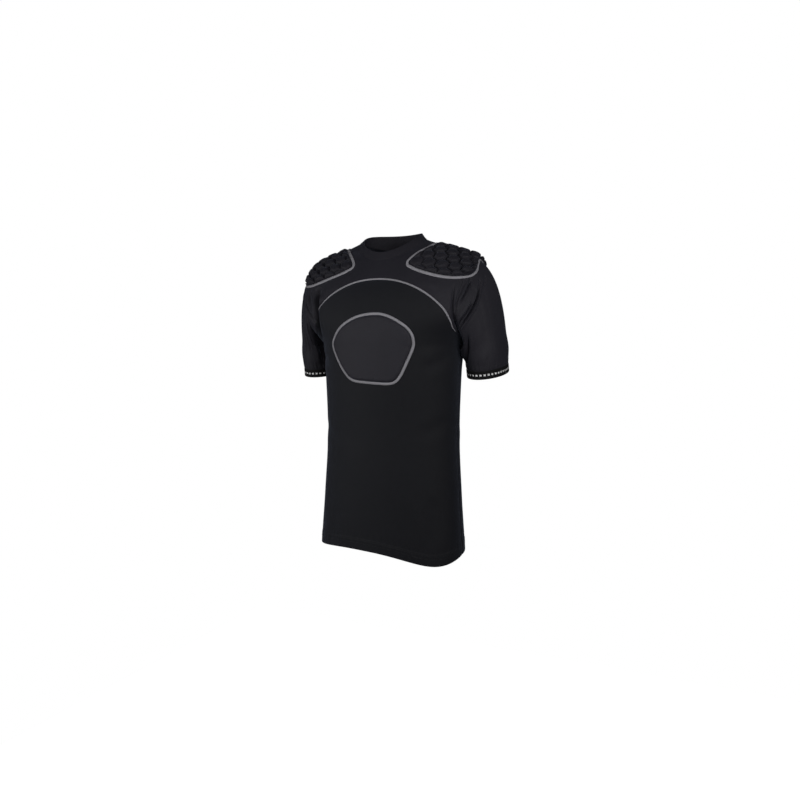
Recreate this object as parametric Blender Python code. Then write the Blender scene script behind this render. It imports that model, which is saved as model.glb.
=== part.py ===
"""Padded short-sleeve rugby top, filled out as when worn, with an empty inside.

Units are metres. +Z is up, the wearer faces -Y and the wearer's left is +X.
The origin is the middle of the neck at the height of the shoulder seams.
Angles round the body start at the front centre (0), pass the left side (90)
and end at the back centre (180). Right-hand pieces mirror left-hand ones.
"""

import math

import bpy
import numpy as np
from mathutils import Vector
from mathutils.bvhtree import BVHTree

# Cloth and seams
CLOTH = 0.0012
SEAM_GAP = 0.0003
LIFT = 0.0016

# The worn form of the body as level sections, from the hem up
# height, half width, and how far back its sides, front and back are
BODY_SECTIONS = (
    (-0.740, 0.173, -0.006, -0.117, 0.112),
    (-0.700, 0.172, -0.006, -0.116, 0.111),
    (-0.580, 0.165, -0.004, -0.111, 0.102),
    (-0.440, 0.159, 0.000, -0.108, 0.095),
    (-0.300, 0.163, 0.000, -0.117, 0.105),
    (-0.245, 0.167, 0.002, -0.122, 0.111),
    (-0.220, 0.181, 0.005, -0.124, 0.113),
    (-0.205, 0.197, 0.007, -0.124, 0.115),
    (-0.185, 0.221, 0.009, -0.123, 0.116),
    (-0.155, 0.245, 0.012, -0.118, 0.116),
    (-0.120, 0.254, 0.013, -0.108, 0.113),
    (-0.090, 0.247, 0.013, -0.093, 0.107),
    (-0.070, 0.234, 0.013, -0.080, 0.101),
    (-0.056, 0.219, 0.013, -0.071, 0.095),
    (-0.044, 0.201, 0.012, -0.063, 0.089),
    (-0.031, 0.173, 0.011, -0.052, 0.080),
    (-0.020, 0.142, 0.010, -0.041, 0.071),
    (-0.009, 0.116, 0.006, -0.032, 0.057),
    (0.003, 0.085, 0.003, -0.024, 0.032),
    (0.030, 0.045, 0.000, -0.012, 0.015),
)
ROUNDNESS = 2.2

# Hem: its level, and soft dips (+) and lifts (-) round it
HEM_HEIGHT = -0.700
HEM_WAVE_TOP = -0.440
# angle, drop, spread
HEM_WAVES = (
    (-14, -0.012, 40),
    (52, 0.016, 30),
    (128, -0.006, 30),
    (200, 0.008, 34),
    (262, -0.004, 26),
)

# Armhole: a slanting plane that cuts the shoulder stub off the body
ARMHOLE_TOP_X = 0.196
ARMHOLE_TOP_HEIGHT = -0.044
ARMHOLE_SLANT = 0.10
ARMHOLE_MIDDLE_HEIGHT = -0.13
ARMHOLE_STEPS = 12
YOKE_END_STEP = 10

# Neck seam and collar
NECK_HALF_WIDTH = 0.083
NECK_FRONT = 0.066
NECK_BACK = 0.062
NECK_LOWEST = -0.12
NECK_HIGHEST = 0.02
COLLAR_CLOTH = 0.0020
COLLAR_TOP_HALF_WIDTH = 0.070
COLLAR_TOP_FRONT = 0.058
COLLAR_TOP_BACK = 0.056
COLLAR_FRONT_HEIGHT = -0.0275
COLLAR_BACK_HEIGHT = 0.0250
COLLAR_DIP_POWER = 2.4
COLLAR_RISE = 0.0005

# Yoke seam: an arch over the chest, from armhole to armhole
YOKE_PEAK_HEIGHT = -0.093
YOKE_ARCH_POWER = 2.1
YOKE_BOW = 0.034
YOKE_SHOULDER_POWER = 6
BACK_CORNER_POWER = 8

# Sleeve and cuff
CUFF_CENTRE = (0.2125, 0.056, -0.302)
ARM_DIRECTION = (0.03, 0.18, -0.98)
CUFF_HEIGHT = 0.019
CUFF_HALF_WIDTH = 0.045
CUFF_HALF_DEPTH = 0.070
CUFF_CLOTH = 0.0018
SLEEVE_BLOUSE = 0.003
BLOUSE_START = 0.70
SLEEVE_LENGTH = 0.20
SLEEVE_RINGS = 13
FOLD_FADE_TOP = 0.10
FOLD_FADE_CUFF = 0.20
# turn round the sleeve (0 top, 90 front, 180 underarm), pull towards the arm, reach of the start
SLEEVE_STARTS = (
    (0, 0.08, 0.250),
    (90, 0.52, 0.190),
    (140, 0.70, 0.120),
    (180, 0.92, 0.050),
    (220, 0.70, 0.120),
    (270, 0.52, 0.190),
    (360, 0.08, 0.250),
)
# start turn, start reach, end turn, end reach, half width, depth
SLEEVE_FOLDS = (
    (150, 0.16, 62, 0.06, 0.010, 0.0045),
    (160, 0.36, 78, 0.30, 0.012, 0.0040),
    (205, 0.22, 275, 0.12, 0.012, 0.0040),
)

# Pads and their edge trim
CHEST_PAD_THICKNESS = 0.0055
SHOULDER_PAD_THICKNESS = 0.0085
PAD_EDGE_SHARE = 0.22
PAD_ROUNDING = 5
PAD_RINGS = (0.20, 0.40, 0.60, 0.78, 0.92, 1.0)
TRIM_WIDTH = 0.0065
TRIM_HEIGHT = 0.0016
YOKE_TRIM_WIDTH = 0.0050
# half outline of the chest pad, from the top centre round to the bottom centre: sideways, height
CHEST_PAD_OUTLINE = (
    (0.000, -0.1715),
    (0.040, -0.1785),
    (0.075, -0.1985),
    (0.0965, -0.2265),
    (0.0975, -0.2435),
    (0.0795, -0.2815),
    (0.0665, -0.3035),
    (0.0515, -0.3150),
    (0.026, -0.3170),
    (0.000, -0.3170),
)
# shoulder pad outline, from its outer end round the front: along the ridge, tilt from the ridge
SHOULDER_AXIS_Y = 0.0151
SHOULDER_AXIS_HEIGHT = -0.110
SHOULDER_RADIUS = 0.085
SHOULDER_FAN_START = 0.160
SHOULDER_PAD_CENTRE = 0.178
SHOULDER_PAD_OUTLINE = (
    (0.225, 0),
    (0.229, 28),
    (0.226, 50),
    (0.217, 65),
    (0.201, 74),
    (0.178, 77.5),
    (0.154, 77),
    (0.129, 74),
    (0.104, 69.5),
    (0.082, 64),
    (0.070, 57.5),
    (0.085, 42),
    (0.105, 25),
    (0.115, 12),
    (0.121, 0),
)

# The smooth form that the shoulder pads are laid on: its lowest level, how far it goes down the
# sleeve, and its steps up, across, down the sleeve and round it
FORM_LOWEST = -0.19
FORM_SLEEVE_REACH = 0.60
FORM_STEPS = (96, 61, 60, 120)

# Steps of the cloth grids
YOKE_COLUMNS = 16
BACK_COLUMNS = 18
BODY_ROWS = 11
SHOULDER_ROWS = 6
CHEST_PAD_STEPS = 36
SHOULDER_PAD_STEPS = 48

# Colours and roughness
BODY_BLACK = (0.012, 0.012, 0.013)
YOKE_BLACK = (0.016, 0.015, 0.019)
BAND_BLACK = (0.004, 0.004, 0.005)
TRIM_GREY = (0.20, 0.20, 0.22)
KNIT_ROUGHNESS = 0.85
BAND_ROUGHNESS = 0.75


def through(rows, column, places):
    """A smooth curve, with no overshoot, through one column of a table at places in its first column."""
    table = np.array(rows, float)
    at, value = table[:, 0], table[:, column]
    run = np.diff(at)
    rise = np.diff(value) / run
    before, after = rise[:-1], rise[1:]
    slope = np.concatenate([rise[:1], np.zeros(len(at) - 2), rise[-1:]])
    same_way = before * after > 0
    slope[1:-1][same_way] = 2 * (before * after)[same_way] / (before + after)[same_way]
    places = np.asarray(places, float)
    k = np.clip(np.searchsorted(at, places) - 1, 0, len(run) - 1)
    t = (places - at[k]) / run[k]
    return (
        value[k] * (1 + 2 * t) * (1 - t) ** 2
        + value[k + 1] * t * t * (3 - 2 * t)
        + slope[k] * run[k] * t * (1 - t) ** 2
        - slope[k + 1] * run[k] * t * t * (1 - t)
    )


def unit(vectors):
    return vectors / np.linalg.norm(vectors, axis=-1, keepdims=True)


def mirrored(points):
    return points * np.array([-1.0, 1.0, 1.0])


def body(angle, height):
    """The point of the body's form at an angle round it, in radians, and a height."""
    half_width, middle, front, back = (through(BODY_SECTIONS, k, height) for k in (1, 2, 3, 4))
    sideways = np.sign(np.sin(angle)) * abs(np.sin(angle)) ** (2 / ROUNDNESS)
    share = abs(np.cos(angle)) ** (2 / ROUNDNESS)
    y = middle + np.where(np.cos(angle) >= 0, front - middle, back - middle) * share
    return np.stack([half_width * sideways, y, np.asarray(height, float) + 0 * y], axis=-1)


def fullness(points):
    """Below 1 inside the body's form and above 1 outside it."""
    x, y, height = points[..., 0], points[..., 1], points[..., 2]
    half_width, middle, front, back = (through(BODY_SECTIONS, k, height) for k in (1, 2, 3, 4))
    depth = np.where(y < middle, middle - front, back - middle)
    return (abs(x) / half_width) ** ROUNDNESS + (abs(y - middle) / depth) ** ROUNDNESS


def body_normals(points, step=0.0002):
    """Directions straight out of the body's form."""
    slopes = [fullness(points + step * axis) - fullness(points - step * axis) for axis in np.eye(3)]
    return unit(np.stack(slopes, axis=-1))


def angle_at(sideways, height, behind=False):
    """The angle round the body at which its form is this far sideways."""
    share = np.clip(abs(sideways) / through(BODY_SECTIONS, 1, height), 0, 1)
    angle = np.sign(sideways) * np.arcsin(share ** (ROUNDNESS / 2))
    return math.pi - angle if behind else angle


def solve(low, high, is_low):
    """Halves the span between low and high until is_low changes there."""
    low, high = np.array(low, float), np.array(high, float)
    for _ in range(40):
        middle = (low + high) / 2
        lower = is_low(middle)
        low, high = np.where(lower, middle, low), np.where(lower, high, middle)
    return (low + high) / 2


def hem_drop(angle, height):
    """How far the hem's waves lower a point: all the way at the hem, nothing above the waist."""
    degrees = np.degrees(angle)
    drop = 0 * degrees
    for centre, depth, spread in HEM_WAVES:
        away = (degrees - centre + 180) % 360 - 180
        drop = drop + depth * np.exp(-((away / spread) ** 2))
    low = np.clip((HEM_WAVE_TOP - height) / (HEM_WAVE_TOP - HEM_HEIGHT), 0, 1)
    return drop * low * low * (3 - 2 * low)


def armhole_x(height):
    return ARMHOLE_TOP_X + ARMHOLE_SLANT * (height - ARMHOLE_TOP_HEIGHT)


def stub_passes_armhole(height):
    return through(BODY_SECTIONS, 1, height) > armhole_x(height)


ARMHOLE_HIGH = float(solve(ARMHOLE_MIDDLE_HEIGHT, 0.0, stub_passes_armhole))
ARMHOLE_LOW = float(solve(ARMHOLE_MIDDLE_HEIGHT, CUFF_CENTRE[2], stub_passes_armhole))


def armhole_height(turn):
    """Height on the armhole at a turn round it: 0 is the top, pi the underarm."""
    return (ARMHOLE_HIGH + ARMHOLE_LOW) / 2 + (ARMHOLE_HIGH - ARMHOLE_LOW) / 2 * np.cos(turn)


def armhole(turn):
    """The left armhole seam: turns up to pi run down the front, and on to 2 pi up the back."""
    height = armhole_height(turn)
    front = body(angle_at(armhole_x(height), height), height)
    back = body(angle_at(armhole_x(height), height, behind=True), height)
    return np.where((np.sin(turn) >= 0)[..., None], front, back)


def neck_seam(turn):
    """The neck seam at a turn round it, found on the body's form under an oval."""
    x = NECK_HALF_WIDTH * np.sin(turn)
    y = np.where(np.cos(turn) >= 0, -NECK_FRONT, NECK_BACK) * abs(np.cos(turn))

    def under(height):
        return fullness(np.stack([x, y, height], axis=-1)) < 1

    height = solve(0 * x + NECK_LOWEST, 0 * x + NECK_HIGHEST, under)
    return np.stack([x, y, height], axis=-1)


def yoke_seam(across, shift=0.0):
    """Places sideways and up along the yoke seam, from -1 at the right armhole to 1 at the left one."""
    end_height = armhole_height(math.pi * YOKE_END_STEP / ARMHOLE_STEPS)
    end_angle = angle_at(armhole_x(end_height), end_height)
    fall = np.sin(abs(across) * math.pi / 2) ** YOKE_ARCH_POWER
    height = YOKE_PEAK_HEIGHT + (end_height - YOKE_PEAK_HEIGHT) * fall
    places = body(across * end_angle, height)[:, [0, 2]]
    along = unit(np.gradient(places, axis=0))
    return places + shift * np.stack([-along[:, 1], along[:, 0]], axis=-1)


def armhole_run(first_step, last_step, behind=False):
    """Angles and heights along the left armhole seam between two of its steps."""
    way = 1 if last_step > first_step else -1
    heights = armhole_height(math.pi * np.arange(first_step, last_step + way, way) / ARMHOLE_STEPS)
    return np.stack([angle_at(armhole_x(heights), heights, behind), heights], axis=-1)


def yoke_edge(shift):
    """Angles and heights along the yoke seam, moved sideways off it by shift."""
    places = yoke_seam(np.linspace(-1, 1, YOKE_COLUMNS + 1), shift)
    return np.stack([angle_at(places[:, 0], places[:, 1]), places[:, 1]], axis=-1)


def neck_edge(count, behind):
    """Angles and heights along the front or back half of the neck seam, from right to left."""
    turn = neck_turns(count)
    seam = neck_seam(math.pi - turn if behind else turn)
    return np.stack([angle_at(seam[:, 0], seam[:, 2], behind), seam[:, 2]], axis=-1)


def neck_turns(count):
    return np.linspace(-math.pi / 2, math.pi / 2, count)


def ruled(low, high, rows):
    """Angles and heights on straight rows between two edges with the same number of points."""
    share = np.linspace(0, 1, rows + 1)[:, None, None]
    return (1 - share) * low + share * high


def front_body_places():
    """The front below the yoke: columns from the hem to the underarm, the armhole and the yoke seam."""
    armhole_part = armhole_run(YOKE_END_STEP + 1, ARMHOLE_STEPS)
    seam = yoke_edge(-SEAM_GAP / 2)
    mirror = armhole_part[::-1] * np.array([-1.0, 1.0])
    top = np.concatenate([mirror, seam, armhole_part])
    angles = np.linspace(-math.pi / 2, math.pi / 2, len(top))
    return ruled(np.stack([angles, 0 * angles + HEM_HEIGHT], axis=-1), top, BODY_ROWS)


def front_yoke_places():
    """The upper front: columns from the armholes and the yoke seam up to the neck."""
    armhole_part = armhole_run(YOKE_END_STEP - 1, 0)
    mirror = armhole_part[::-1] * np.array([-1.0, 1.0])
    low = np.concatenate([mirror, yoke_edge(SEAM_GAP / 2), armhole_part])
    high = neck_edge(len(low), False)
    low, high = (body(edge[:, 0], edge[:, 1])[:, [0, 2]] for edge in (low, high))
    heights = np.linspace(low[-1, 1], high[-1, 1], SHOULDER_ROWS + 1)
    shoulder = np.stack([through(BODY_SECTIONS, 1, heights), heights], axis=-1)
    places = ruled(low, high, SHOULDER_ROWS)
    bend = (shoulder - places[:, -1])[:, None, :]
    across = np.linspace(-1, 1, len(low))[None, :, None]
    share = abs(across) ** YOKE_SHOULDER_POWER
    places = places + share * bend * np.concatenate([np.sign(across), np.ones_like(across)], axis=-1)
    up = np.linspace(0, 1, SHOULDER_ROWS + 1)[:, None]
    bow = np.sin(math.pi * across[..., 0])
    places[..., 0] += YOKE_BOW * 4 * up * (1 - up) * bow * abs(bow)
    return np.stack([angle_at(places[..., 0], places[..., 1]), places[..., 1]], axis=-1)


def back_body_places():
    """The whole back: rows from side to side, up the side seams, the armholes and the shoulder seams."""
    across = np.linspace(1, -1, BACK_COLUMNS + 1)
    neck = neck_edge(BACK_COLUMNS + 1, True)[::-1]
    sides = np.linspace(HEM_HEIGHT, ARMHOLE_LOW, BODY_ROWS + 1)[:-1]
    shoulders = np.linspace(ARMHOLE_HIGH, neck[0, 1], SHOULDER_ROWS + 1)[1:]
    seams = [np.stack([0 * run + math.pi / 2, run], axis=-1) for run in (sides, shoulders)]
    edge = np.concatenate([seams[0], armhole_run(ARMHOLE_STEPS, 0, True), seams[1]])
    up = ((edge[:, 1] - edge[0, 1]) / (edge[-1, 1] - edge[0, 1]))[:, None]
    bend = edge[:, 0:1] - (1 - up) * edge[0, 0] - up * edge[-1, 0]
    angles = (1 - up) * (math.pi - across * math.pi / 2) + up * neck[:, 0] + bend * across
    to_side = up * (edge[-1, 0] - neck[0, 0])
    angles = angles + to_side * np.sign(across) * abs(across) ** BACK_CORNER_POWER
    heights = (1 - up) * HEM_HEIGHT + up * neck[:, 1]
    return np.stack([angles, heights], axis=-1)


def arm_axes():
    """Down the arm, outwards and forwards at the cuff."""
    down = unit(np.array(ARM_DIRECTION))
    outwards = unit(np.array([1.0, 0, 0]) - down[0] * down)
    return down, outwards, np.cross(down, outwards)


def cuff_ring(turn, up):
    """The ring of the left cuff at a distance up from its open end."""
    down, outwards, forwards = arm_axes()
    return (
        np.array(CUFF_CENTRE)
        - up * down
        + CUFF_HALF_WIDTH * np.cos(turn)[..., None] * outwards
        + CUFF_HALF_DEPTH * np.sin(turn)[..., None] * forwards
    )


def smooth_sleeve(turn, reach):
    """The left sleeve without creases: one curve for each turn, from the armhole to the cuff."""
    degrees = np.degrees(turn) % 360
    pull = through(SLEEVE_STARTS, 1, degrees)[..., None]
    start_reach = through(SLEEVE_STARTS, 2, degrees)[..., None]
    down, outwards, forwards = arm_axes()
    start = armhole(turn)
    along_seam = unit(armhole(turn + 0.001) - armhole(turn - 0.001))
    leave = np.cross(body_normals(start), along_seam)
    leave = leave * np.sign(leave[..., 0:1])
    leave = start_reach * unit((1 - pull) * leave + pull * down)
    end = cuff_ring(turn, CUFF_HEIGHT)
    arrive = np.linalg.norm(end - start, axis=-1, keepdims=True) * down
    t = reach[..., None]
    curve = (
        start * (1 + 2 * t) * (1 - t) ** 2
        + end * t * t * (3 - 2 * t)
        + leave * t * (1 - t) ** 2
        - arrive * t * t * (1 - t)
    )
    around = np.cos(turn)[..., None] * outwards + np.sin(turn)[..., None] * forwards
    outer_share = (0.5 + 0.5 * np.cos(turn))[..., None]
    low_share = np.clip((t - BLOUSE_START) / (1 - BLOUSE_START), 0, 1)
    swell = SLEEVE_BLOUSE * outer_share * np.sin(math.pi * low_share) ** 2
    return curve + swell * around


def sleeve_normals(turn, reach, step=0.004):
    """Directions out of the smooth left sleeve."""
    inside = np.clip(reach, 0.03, 1 - step)
    around = smooth_sleeve(turn + step, inside) - smooth_sleeve(turn - step, inside)
    along = smooth_sleeve(turn, inside + step) - smooth_sleeve(turn, inside - step)
    return unit(np.cross(around, along))


def armhole_normals(turn):
    """Directions halfway between the body's and the sleeve's where they are sewn together."""
    return unit(body_normals(armhole(turn)) + sleeve_normals(turn, 0 * turn))


def armhole_away():
    """Straight out of the left armhole's plane, away from the body."""
    return unit(np.array([1.0, 0.0, -ARMHOLE_SLANT]))


def fold_depth(turn, reach):
    """Depth of the sleeve's creases at a turn round it and a share of the way down it."""
    depth = 0 * turn
    size = np.array([CUFF_HALF_DEPTH, SLEEVE_LENGTH])
    place = np.stack([turn, reach], axis=-1) * size
    for turn_0, reach_0, turn_1, reach_1, width, deep in SLEEVE_FOLDS:
        start = np.array([math.radians(turn_0), reach_0]) * size
        run = np.array([math.radians(turn_1), reach_1]) * size - start
        along = np.clip((place - start) @ run / (run @ run), 0, 1)
        away = np.linalg.norm(place - start - along[..., None] * run, axis=-1)
        depth = depth + deep * np.exp(-((away / width) ** 2))
    return depth * np.clip(reach / FOLD_FADE_TOP, 0, 1) * np.clip((1 - reach) / FOLD_FADE_CUFF, 0, 1)


def sleeve_wall(gap=SEAM_GAP):
    """The left sleeve's outer and inner points, from the armhole to the cuff."""
    turn = turns(2 * ARMHOLE_STEPS)
    reach, turn = np.meshgrid(np.linspace(0, 1, SLEEVE_RINGS), turn, indexing="ij")
    out = sleeve_normals(turn, reach)
    outer = smooth_sleeve(turn, reach) - fold_depth(turn, reach)[..., None] * out
    out[0] = armhole_normals(turn[0])
    outer[0] += gap / 2 * armhole_away()
    return outer, outer - CLOTH * out


def turns(count):
    return np.linspace(0, 2 * math.pi, count, endpoint=False)


def body_wall(places, behind=False, gap=SEAM_GAP):
    """A body panel's outer and inner points at a grid of angles and heights."""
    angles, heights = places[..., 0], places[..., 1]
    points = body(angles, heights - hem_drop(angles, heights))
    out = body_normals(points)
    x, height = points[..., 0], points[..., 2]
    sewn = (abs(abs(x) - armhole_x(height)) < 1e-6) & (height > ARMHOLE_LOW - 1e-6)
    middle, half = (ARMHOLE_HIGH + ARMHOLE_LOW) / 2, (ARMHOLE_HIGH - ARMHOLE_LOW) / 2
    turn = np.arccos(np.clip((height - middle) / half, -1, 1))
    seam_out = armhole_normals(2 * math.pi - turn if behind else turn)
    away = np.broadcast_to(armhole_away(), points.shape)
    right = (x < 0)[..., None]
    seam_out = np.where(right, mirrored(seam_out), seam_out)
    away = np.where(right, mirrored(away), away)
    out = np.where(sewn[..., None], seam_out, out)
    points = points - np.where(sewn[..., None], gap / 2 * away, 0.0)
    on_side = abs(abs(np.sin(angles)) - 1) < 1e-9
    points[..., 1] += np.where(on_side, gap / 2 if behind else -gap / 2, 0.0)
    return points, points - CLOTH * out


def cuff_wall():
    """The elastic band below the left sleeve, from its seam to its open end."""
    turn = turns(2 * ARMHOLE_STEPS)
    outer = np.stack([cuff_ring(turn, up) for up in (CUFF_HEIGHT - SEAM_GAP, CUFF_HEIGHT / 2, 0.0)])
    middle = outer.mean(axis=1, keepdims=True)
    return outer, outer - CUFF_CLOTH * unit(outer - middle)


def collar_wall():
    """The standing collar, from the neck seam to its top edge."""
    front = neck_turns(2 * YOKE_END_STEP + YOKE_COLUMNS + 1)
    back = neck_turns(BACK_COLUMNS + 1)[1:-1] + math.pi
    turn = np.concatenate([front, back])
    low = neck_seam(turn)
    depth = np.where(np.cos(turn) >= 0, -COLLAR_TOP_FRONT, COLLAR_TOP_BACK) * abs(np.cos(turn))
    dip = ((1 + np.cos(turn)) / 2) ** COLLAR_DIP_POWER
    height = COLLAR_BACK_HEIGHT + (COLLAR_FRONT_HEIGHT - COLLAR_BACK_HEIGHT) * dip
    high = np.stack([COLLAR_TOP_HALF_WIDTH * np.sin(turn), depth, height], axis=-1)
    upwards = unit(high - low)
    low = low + COLLAR_RISE * upwards
    around = np.roll(low, -1, axis=0) - np.roll(low, 1, axis=0)
    out = unit(np.cross(around, upwards))
    outer = np.stack([low + share * (high - low) for share in (0.0, 0.5, 1.0)])
    return outer, outer - COLLAR_CLOTH * out


def closed_curve(points, count):
    """Places evenly spaced along a smooth closed curve through the points."""
    points = np.array(points, float)
    fine = np.linspace(0, 1, 24, endpoint=False)[:, None]
    pieces = []
    for k in range(len(points)):
        before, start, end, after = (points[(k + j) % len(points)] for j in (-1, 0, 1, 2))
        leave, arrive = (end - before) / 2, (after - start) / 2
        pieces.append(
            start * (1 + 2 * fine) * (1 - fine) ** 2
            + end * fine * fine * (3 - 2 * fine)
            + leave * fine * (1 - fine) ** 2
            - arrive * fine * fine * (1 - fine)
        )
    curve = np.concatenate(pieces + [points[:1]])
    length = np.concatenate([[0], np.cumsum(np.linalg.norm(np.diff(curve, axis=0), axis=1))])
    wanted = np.linspace(0, length[-1], count, endpoint=False)
    return np.stack([np.interp(wanted, length, curve[:, j]) for j in (0, 1)], axis=-1)


def outwards_of(outline, centre):
    """Directions away from a closed outline, in its own plane."""
    along = unit(np.roll(outline, -1, axis=0) - np.roll(outline, 1, axis=0))
    away = np.stack([-along[:, 1], along[:, 0]], axis=-1)
    return away * np.sign(np.sum(away * (outline - centre)))


def on_front(places):
    """Points and directions out of the front at places sideways and up."""
    points = body(angle_at(places[..., 0], places[..., 1]), places[..., 1])
    return points, body_normals(points)


def face_tree(grids):
    """The outer faces of pieces given as (points, whether they wrap round)."""
    corners, faces = [], []
    for grid, wraps in grids:
        faces.extend([k + len(corners) for k in face] for face in grid_faces(*grid.shape[:2], wraps))
        corners.extend(Vector(point) for point in grid.reshape(-1, 3))
    return BVHTree.FromPolygons(corners, faces)


def grid_faces(rows, columns, wraps):
    """Four-cornered faces over a grid of points numbered row by row."""
    return [
        (
            r * columns + c,
            r * columns + (c + 1) % columns,
            (r + 1) * columns + (c + 1) % columns,
            (r + 1) * columns + c,
        )
        for r in range(rows - 1)
        for c in range(columns if wraps else columns - 1)
    ]


def form_tree():
    """The left shoulder's smooth form, finely divided."""
    up, across, down, around = FORM_STEPS
    levels, shares = np.linspace(FORM_LOWEST, 0.0, up), np.linspace(0, 1, across)
    height, share = np.meshgrid(levels, shares, indexing="ij")
    reaches = np.linspace(0, FORM_SLEEVE_REACH, down)
    reach, turn = np.meshgrid(reaches, turns(around), indexing="ij")
    end = angle_at(armhole_x(height), height)
    front, back = body(share * end, height), body(math.pi - share * end, height)
    return face_tree([(front, False), (back, False), (smooth_sleeve(turn, reach), True)])


def on_shoulder(cloth, form, places):
    """Points at places along the ridge and tilted from it, on the left shoulder's faces or its form,
    whichever is further out, and directions out of the form. Past the fan's start the way along
    the ridge turns outwards round the shoulder."""
    points, normals = [], []
    for sideways, tilt in places.reshape(-1, 2):
        fan = max(0.0, sideways - SHOULDER_FAN_START) / SHOULDER_RADIUS
        towards = Vector((math.sin(fan), -math.cos(fan) * math.sin(tilt), math.cos(fan) * math.cos(tilt)))
        start = Vector((min(sideways, SHOULDER_FAN_START), SHOULDER_AXIS_Y, SHOULDER_AXIS_HEIGHT))
        hits = [tree.ray_cast(start, towards)[0] for tree in (cloth, form)]
        hits = [hit for hit in hits if hit is not None]
        if not hits:
            hits = [form.find_nearest(start + SHOULDER_RADIUS * towards)[0]]
        point = max(hits, key=lambda hit: (hit - start).length)
        normal = form.find_nearest(point)[1]
        points.append(point)
        normals.append(normal if normal.dot(towards) > 0 else -normal)
    shape = places.shape[:-1] + (3,)
    return np.array(points).reshape(shape), np.array(normals).reshape(shape)


def material(name, colour, roughness):
    made = bpy.data.materials.new(name)
    made.use_nodes = True
    shader = made.node_tree.nodes["Principled BSDF"]
    shader.inputs["Base Color"].default_value = (*colour, 1.0)
    shader.inputs["Roughness"].default_value = roughness
    shader.inputs["Metallic"].default_value = 0.0
    return made


def turned_over(face):
    """The same face seen from its other side, still starting at its first corner."""
    return face[:1] + face[:0:-1]


def piece(name, wall, look, wraps=False, poles=None, right=False):
    """A closed solid between a grid of outer points and the same grid of inner points.

    A grid that wraps joins its last column to its first; poles are the outer and inner
    points that close its first row. A right-hand piece mirrors the points it is given.
    """
    outer, inner = wall
    rows, columns = outer.shape[:2]
    size = rows * columns
    corners = np.concatenate([outer.reshape(-1, 3), inner.reshape(-1, 3)])
    faces = grid_faces(rows, columns, wraps)
    spans = [(c, (c + 1) % columns) for c in range(columns if wraps else columns - 1)]
    if poles is not None:
        corners = np.concatenate([corners, np.stack(poles)])
    faces = faces + [tuple(k + size for k in turned_over(face)) for face in faces]
    last = (rows - 1) * columns
    for c, d in spans:
        faces.append((last + c, last + d, last + d + size, last + c + size))
        if poles is None:
            faces.append((d, c, c + size, d + size))
        else:
            faces.append((2 * size, d, c))
            faces.append((2 * size + 1, c + size, d + size))
    if not wraps:
        for r in range(rows - 1):
            low, high = r * columns, (r + 1) * columns
            faces.append((low, high, high + size, low + size))
            low, high = low + columns - 1, high + columns - 1
            faces.append((high, low, low + size, high + size))
    if right:
        corners = mirrored(corners)
        faces = [turned_over(face) for face in faces]
    mesh = bpy.data.meshes.new(name)
    mesh.from_pydata([tuple(corner) for corner in corners], [], faces)
    mesh.materials.append(look)
    made = bpy.data.objects.new(name, mesh)
    bpy.context.scene.collection.objects.link(made)
    return made


def pad_pieces(name, lie, outline, centre, thickness, pad_look, trim_look, right=False):
    """A pad that lies on cloth and the trim round its edge; lie gives points and directions."""
    shares = np.array(PAD_RINGS)[:, None, None]
    points, out = lie(centre + shares * (outline - centre))
    pole, pole_out = lie(centre[None, :])
    height = thickness * (1 - (1 - PAD_EDGE_SHARE) * shares**PAD_ROUNDING)
    poles = (pole[0] + (LIFT + thickness) * pole_out[0], pole[0] + LIFT * pole_out[0])
    wall = (points + (LIFT + height) * out, points + LIFT * out)
    piece(name, wall, pad_look, True, poles, right)
    steps = np.array([SEAM_GAP, SEAM_GAP + TRIM_WIDTH])[:, None, None]
    points, out = lie(outline + steps * outwards_of(outline, centre))
    wall = (points + (LIFT + TRIM_HEIGHT) * out, points + LIFT * out)
    piece(name.replace("pad", "trim"), wall, trim_look, True, None, right)


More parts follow.
